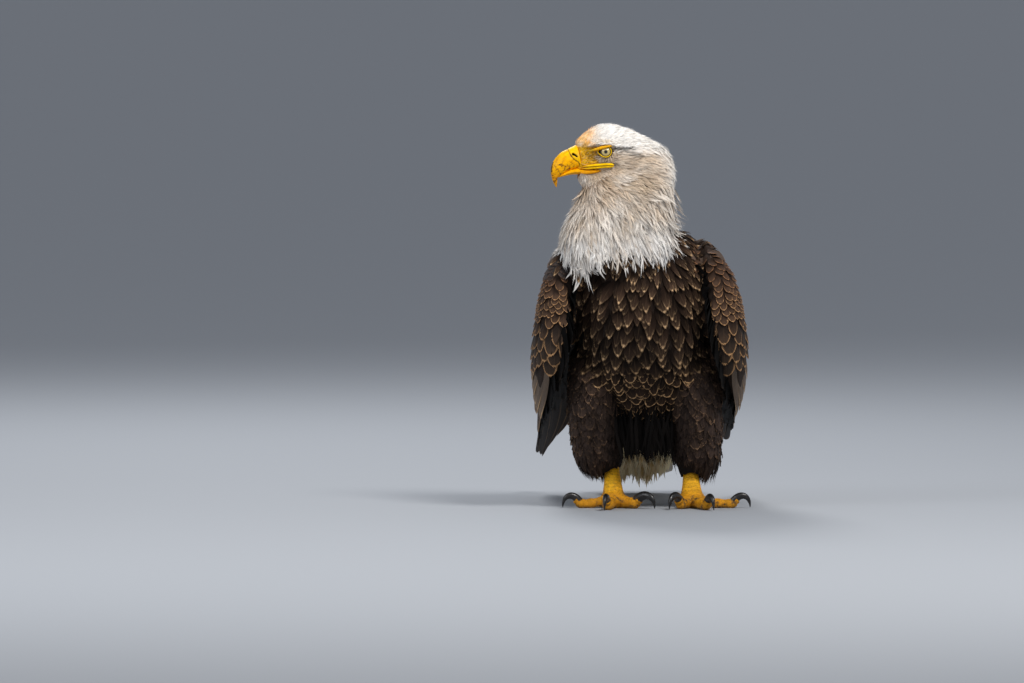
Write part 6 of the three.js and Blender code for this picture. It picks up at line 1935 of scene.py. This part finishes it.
for s, nm in ((1, "left"), (-1, "right")):
    x, y = FEET[s]
    parts, lines = [], []
    pts, dr = curve([[x - 1, y + 36, 92], [x - 2, y + 20, 60], [x - 1, y + 7, 34], [x, y, 12]], 50)
    tt_ = np.linspace(0, 1, 50)
    parts.append(tube(pts, dr, 8.3 * (1 + 0.25 * (1 - tt_) ** 3 + 0.30 * tt_ + 0.75 * tt_**3.5), 36, up=np.array([0, 1.0, 0])))
    lines.append((pts, np.array([0, -1.0, 0.25]), 4.6))
    th, q = np.linspace(0.02, math.pi - 0.02, 24), np.linspace(0, 2 * math.pi, 40, endpoint=False)
    parts.append(loft(np.stack([x + 19 * np.sin(th)[:, None] * np.cos(q), y - 2 + 20 * np.sin(th)[:, None] * np.sin(q),
                                np.broadcast_to(11.5 + 14 * np.cos(th)[:, None], (24, 40))], -1)))
    claws = []
    for (digit, hd, length_, r0, cl, cr, pads) in TOES[s]:
        d = np.array([s * math.sin(math.radians(hd)), -math.cos(math.radians(hd)), 0.0])
        base = np.array([x, y - 2, 0.0])
        st0, en = base + d * 4, base + d * (length_ + 1.0)
        st0[2], en[2] = 11.0, r0 * 0.9
        md = (base + d * 13 + base + d * length_) / 2
        md[2] = r0 * 0.92
        pts, dr = curve([st0, md, en], 60)
        tt_ = np.linspace(0, 1, 60)
        f_ = np.clip((np.linalg.norm(pts - base * [1, 1, 0], axis=1) - 13) / (length_ - 13), 0, 1)
        rad = r0 * (0.98 - 0.10 * f_ - 0.075 * np.cos(2 * math.pi * pads * f_)) * np.where(f_ > 0.9, np.sqrt(np.maximum(1 - ((f_ - 0.9) / 0.15) ** 2, 0.25)), 1)
        parts.append(tube(pts, dr, rad, 30))
        # the fold of skin that the claw comes out of
        cb = base + d * (length_ - 2.0)
        cb[2] = r0 + 1.8
        cp, cd_ = curve([base + d * (length_ - 12) + UP * (r0 + 0.5), cb, cb + d * 4.0 + UP * 3.2], 16)
        parts.append(tube(cp, cd_, np.linspace(cr * 0.95, cr * 1.30, 16), 24))
        lines.append((np.concatenate([pts]), UP, 3.7 if pads == 3 else 4.2))
        cbase = base + d * (length_ - 4)
        B = [cbase + UP * (r0 + 1.5), cbase + d * 0.38 * cl + UP * (r0 + 15), cbase + d * 0.92 * cl + UP * (r0 + 12), cbase + d * 0.94 * cl + UP * 1.1]
        u = np.linspace(0, 1, 54)[:, None]
        cpts = (1 - u) ** 3 * B[0] + 3 * u * (1 - u) ** 2 * B[1] + 3 * u**2 * (1 - u) * B[2] + u**3 * B[3]
        cdir = unit(np.gradient(cpts, axis=0))
        crad = 0.45 + (cr * 1.38 - 0.45) * (1 - u[:, 0] ** 1.9) ** 0.9
        side_ = np.cross(d, UP)
        topv = np.cross(side_, cdir)
        qq = np.linspace(0, 2 * math.pi, 28, endpoint=False)
        sx, sy = np.cos(qq) * 0.86, np.sin(qq) * 1.12
        sy = np.where(sy < 0, sy * 0.82, sy)
        rings = cpts[:, None] + side_ * (sx[None] * crad[:, None])[..., None] + topv[:, None] * (sy[None] * crad[:, None])[..., None]
        cco, ctri = loft(rings)
        me = mesh_from(f"talon_{nm}_{digit}", D(cco), ctri)
        kk = np.concatenate([np.repeat(u[:, 0], 28), [0, 1]])
        put_colour(me, "Tint", mix(np.tile(srgb(30, 28, 28), (len(cco), 1)), srgb(16, 15, 15), kk[:, None]))
        talon = add_object(me, m_claw)
        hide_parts(f"claw_{nm}_{digit}")
    co, tri = remesh(*merge(parts), 1.05)
    co = relax(co, tri, 5)
    nr = vertex_normals(co, tri)
    # plates along the front of the shank and the tops of the toes
    best = np.full(len(co), 1e9)
    push = np.zeros(len(co))
    topness = np.zeros(len(co))
    for (ln_, upv, gap_) in lines:
        d2 = ((co[:, None, :] - ln_[None, ::2]) ** 2).sum(-1)
        j = d2.argmin(1)
        dd = d2[np.arange(len(co)), j]
        L_ = np.concatenate([[0], np.cumsum(np.linalg.norm(np.diff(ln_[::2], axis=0), axis=1))])
        dirn = unit(np.gradient(ln_[::2], axis=0))
        along = L_[j] + ((co - ln_[::2][j]) * dirn[j]).sum(1)
        rad_ = unit(co - ln_[::2][j])
        top_ = sstep(0.25, 0.65, (rad_ * unit(upv)).sum(1))
        groove = np.abs((((along + 1.1 * drift(co, 9) + 0.5 * drift(co + 4, 4)) / gap_) % 1.0) - 0.5) * 2  # 1 at a groove
        h = -0.55 * sstep(0.74, 1.0, groove) * top_ + 0.16 * top_ * (1 - groove)
        take = dd < best
        push, topness, best = np.where(take, h, push), np.where(take, top_, topness), np.where(take, dd, best)
    co = co + nr * (push + 0.12 * drift(co, 6))[:, None]
    low_ = co[:, 2] < 0.0
    co[:, 2] = np.maximum(co[:, 2], 0.0)
    me = mesh_from("foot_skin_" + nm, D(co), tri)
    col = mix(np.tile(srgb(255, 188, 20), (len(co), 1)), srgb(246, 164, 14), (0.5 + 0.5 * drift(co, 22))[:, None])
    col = mix(col, srgb(255, 196, 36), (0.5 * topness)[:, None])
    col = mix(col, srgb(206, 138, 14), (0.85 * sstep(30, 18, co[:, 2]))[:, None])
    col = mix(col, srgb(120, 76, 26), sstep(-0.12, -0.45, push)[:, None] * 0.5)
    col = mix(col, srgb(150, 112, 52), sstep(5, 0.5, co[:, 2])[:, None] * 0.6)
    dirt_ = 0.30 + 0.70 * sstep(28, 14, co[:, 2])
    put_colour(me, "Tint", col, dirt_)
    foot = add_object(me, m_foot)
    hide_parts("foot_" + nm, *[f"toe_{nm}_{k_}" for k_ in (1, 2, 3, 4)])
    print("foot", nm, len(tri))

# ---- floor, light and camera -----------------------------------------------------------------------------------------
me = bpy.data.meshes.new("floor")
me.from_pydata([(-30, -20, 0), (30, -20, 0), (30, 60, 0), (-30, 60, 0)], [], [(0, 1, 2, 3)])
floor = bpy.data.objects.new("floor", me)
bpy.context.scene.collection.objects.link(floor)
n = Nodes("floor_paper")
n.bsdf.inputs["Base Color"].default_value = (0.34, 0.36, 0.39, 1)
n.bsdf.inputs["Roughness"].default_value = 0.8
me.materials.append(n.mat)

world = bpy.data.worlds.new("studio")
bpy.context.scene.world = world
world.use_nodes = True
world.node_tree.nodes["Background"].inputs[0].default_value = (0.80, 0.84, 0.92, 1)
world.node_tree.nodes["Background"].inputs[1].default_value = 0.44
bpy.context.scene.view_settings.view_transform = "Standard"
bpy.context.scene.view_settings.look = "None"


def area(name, at, to, size, watts, colour=(1, 1, 1)):
    l = bpy.data.lights.new(name, "AREA")
    l.shape, l.size, l.energy, l.color = "DISK", size, watts, colour
    o = bpy.data.objects.new(name, l)
    o.location = at
    o.rotation_euler = (Vector(to) - Vector(at)).to_track_quat("-Z", "Y").to_euler()
    bpy.context.scene.collection.objects.link(o)
    return o


area("key", (1.3, -2.3, 3.0), (0, 0, 0.3), 1.0, 104, (1.0, 0.975, 0.94))
area("fill", (-2.4, -2.0, 1.6), (0, 0, 0.3), 1.6, 26, (0.93, 0.96, 1.0))
area("back", (-0.8, 2.4, 2.8), (0, 0, 0.35), 1.2, 60)

cam_data = bpy.data.cameras.new("camera")
cam_data.sensor_width = 36.0
cam_data.lens = 401.7
cam_data.clip_end = 200
cam = bpy.data.objects.new("camera", cam_data)
bpy.context.scene.collection.objects.link(cam)
bpy.context.scene.camera = cam
# The bird stands left-right of the middle as in the view that it was measured in: 1.40 mm to a pixel.
DIST, ELEV = 16.0, math.radians(2.5)
target = D([(512 - 640) * 1.4, 0, (508 - 341.5) * 1.4 / math.cos(ELEV)]) / 1000.0
back = np.array([0, -math.cos(ELEV), math.sin(ELEV)])
cam.location = Vector(target + back * DIST)
cam.rotation_euler = (-Vector(back)).to_track_quat("-Z", "Y").to_euler()
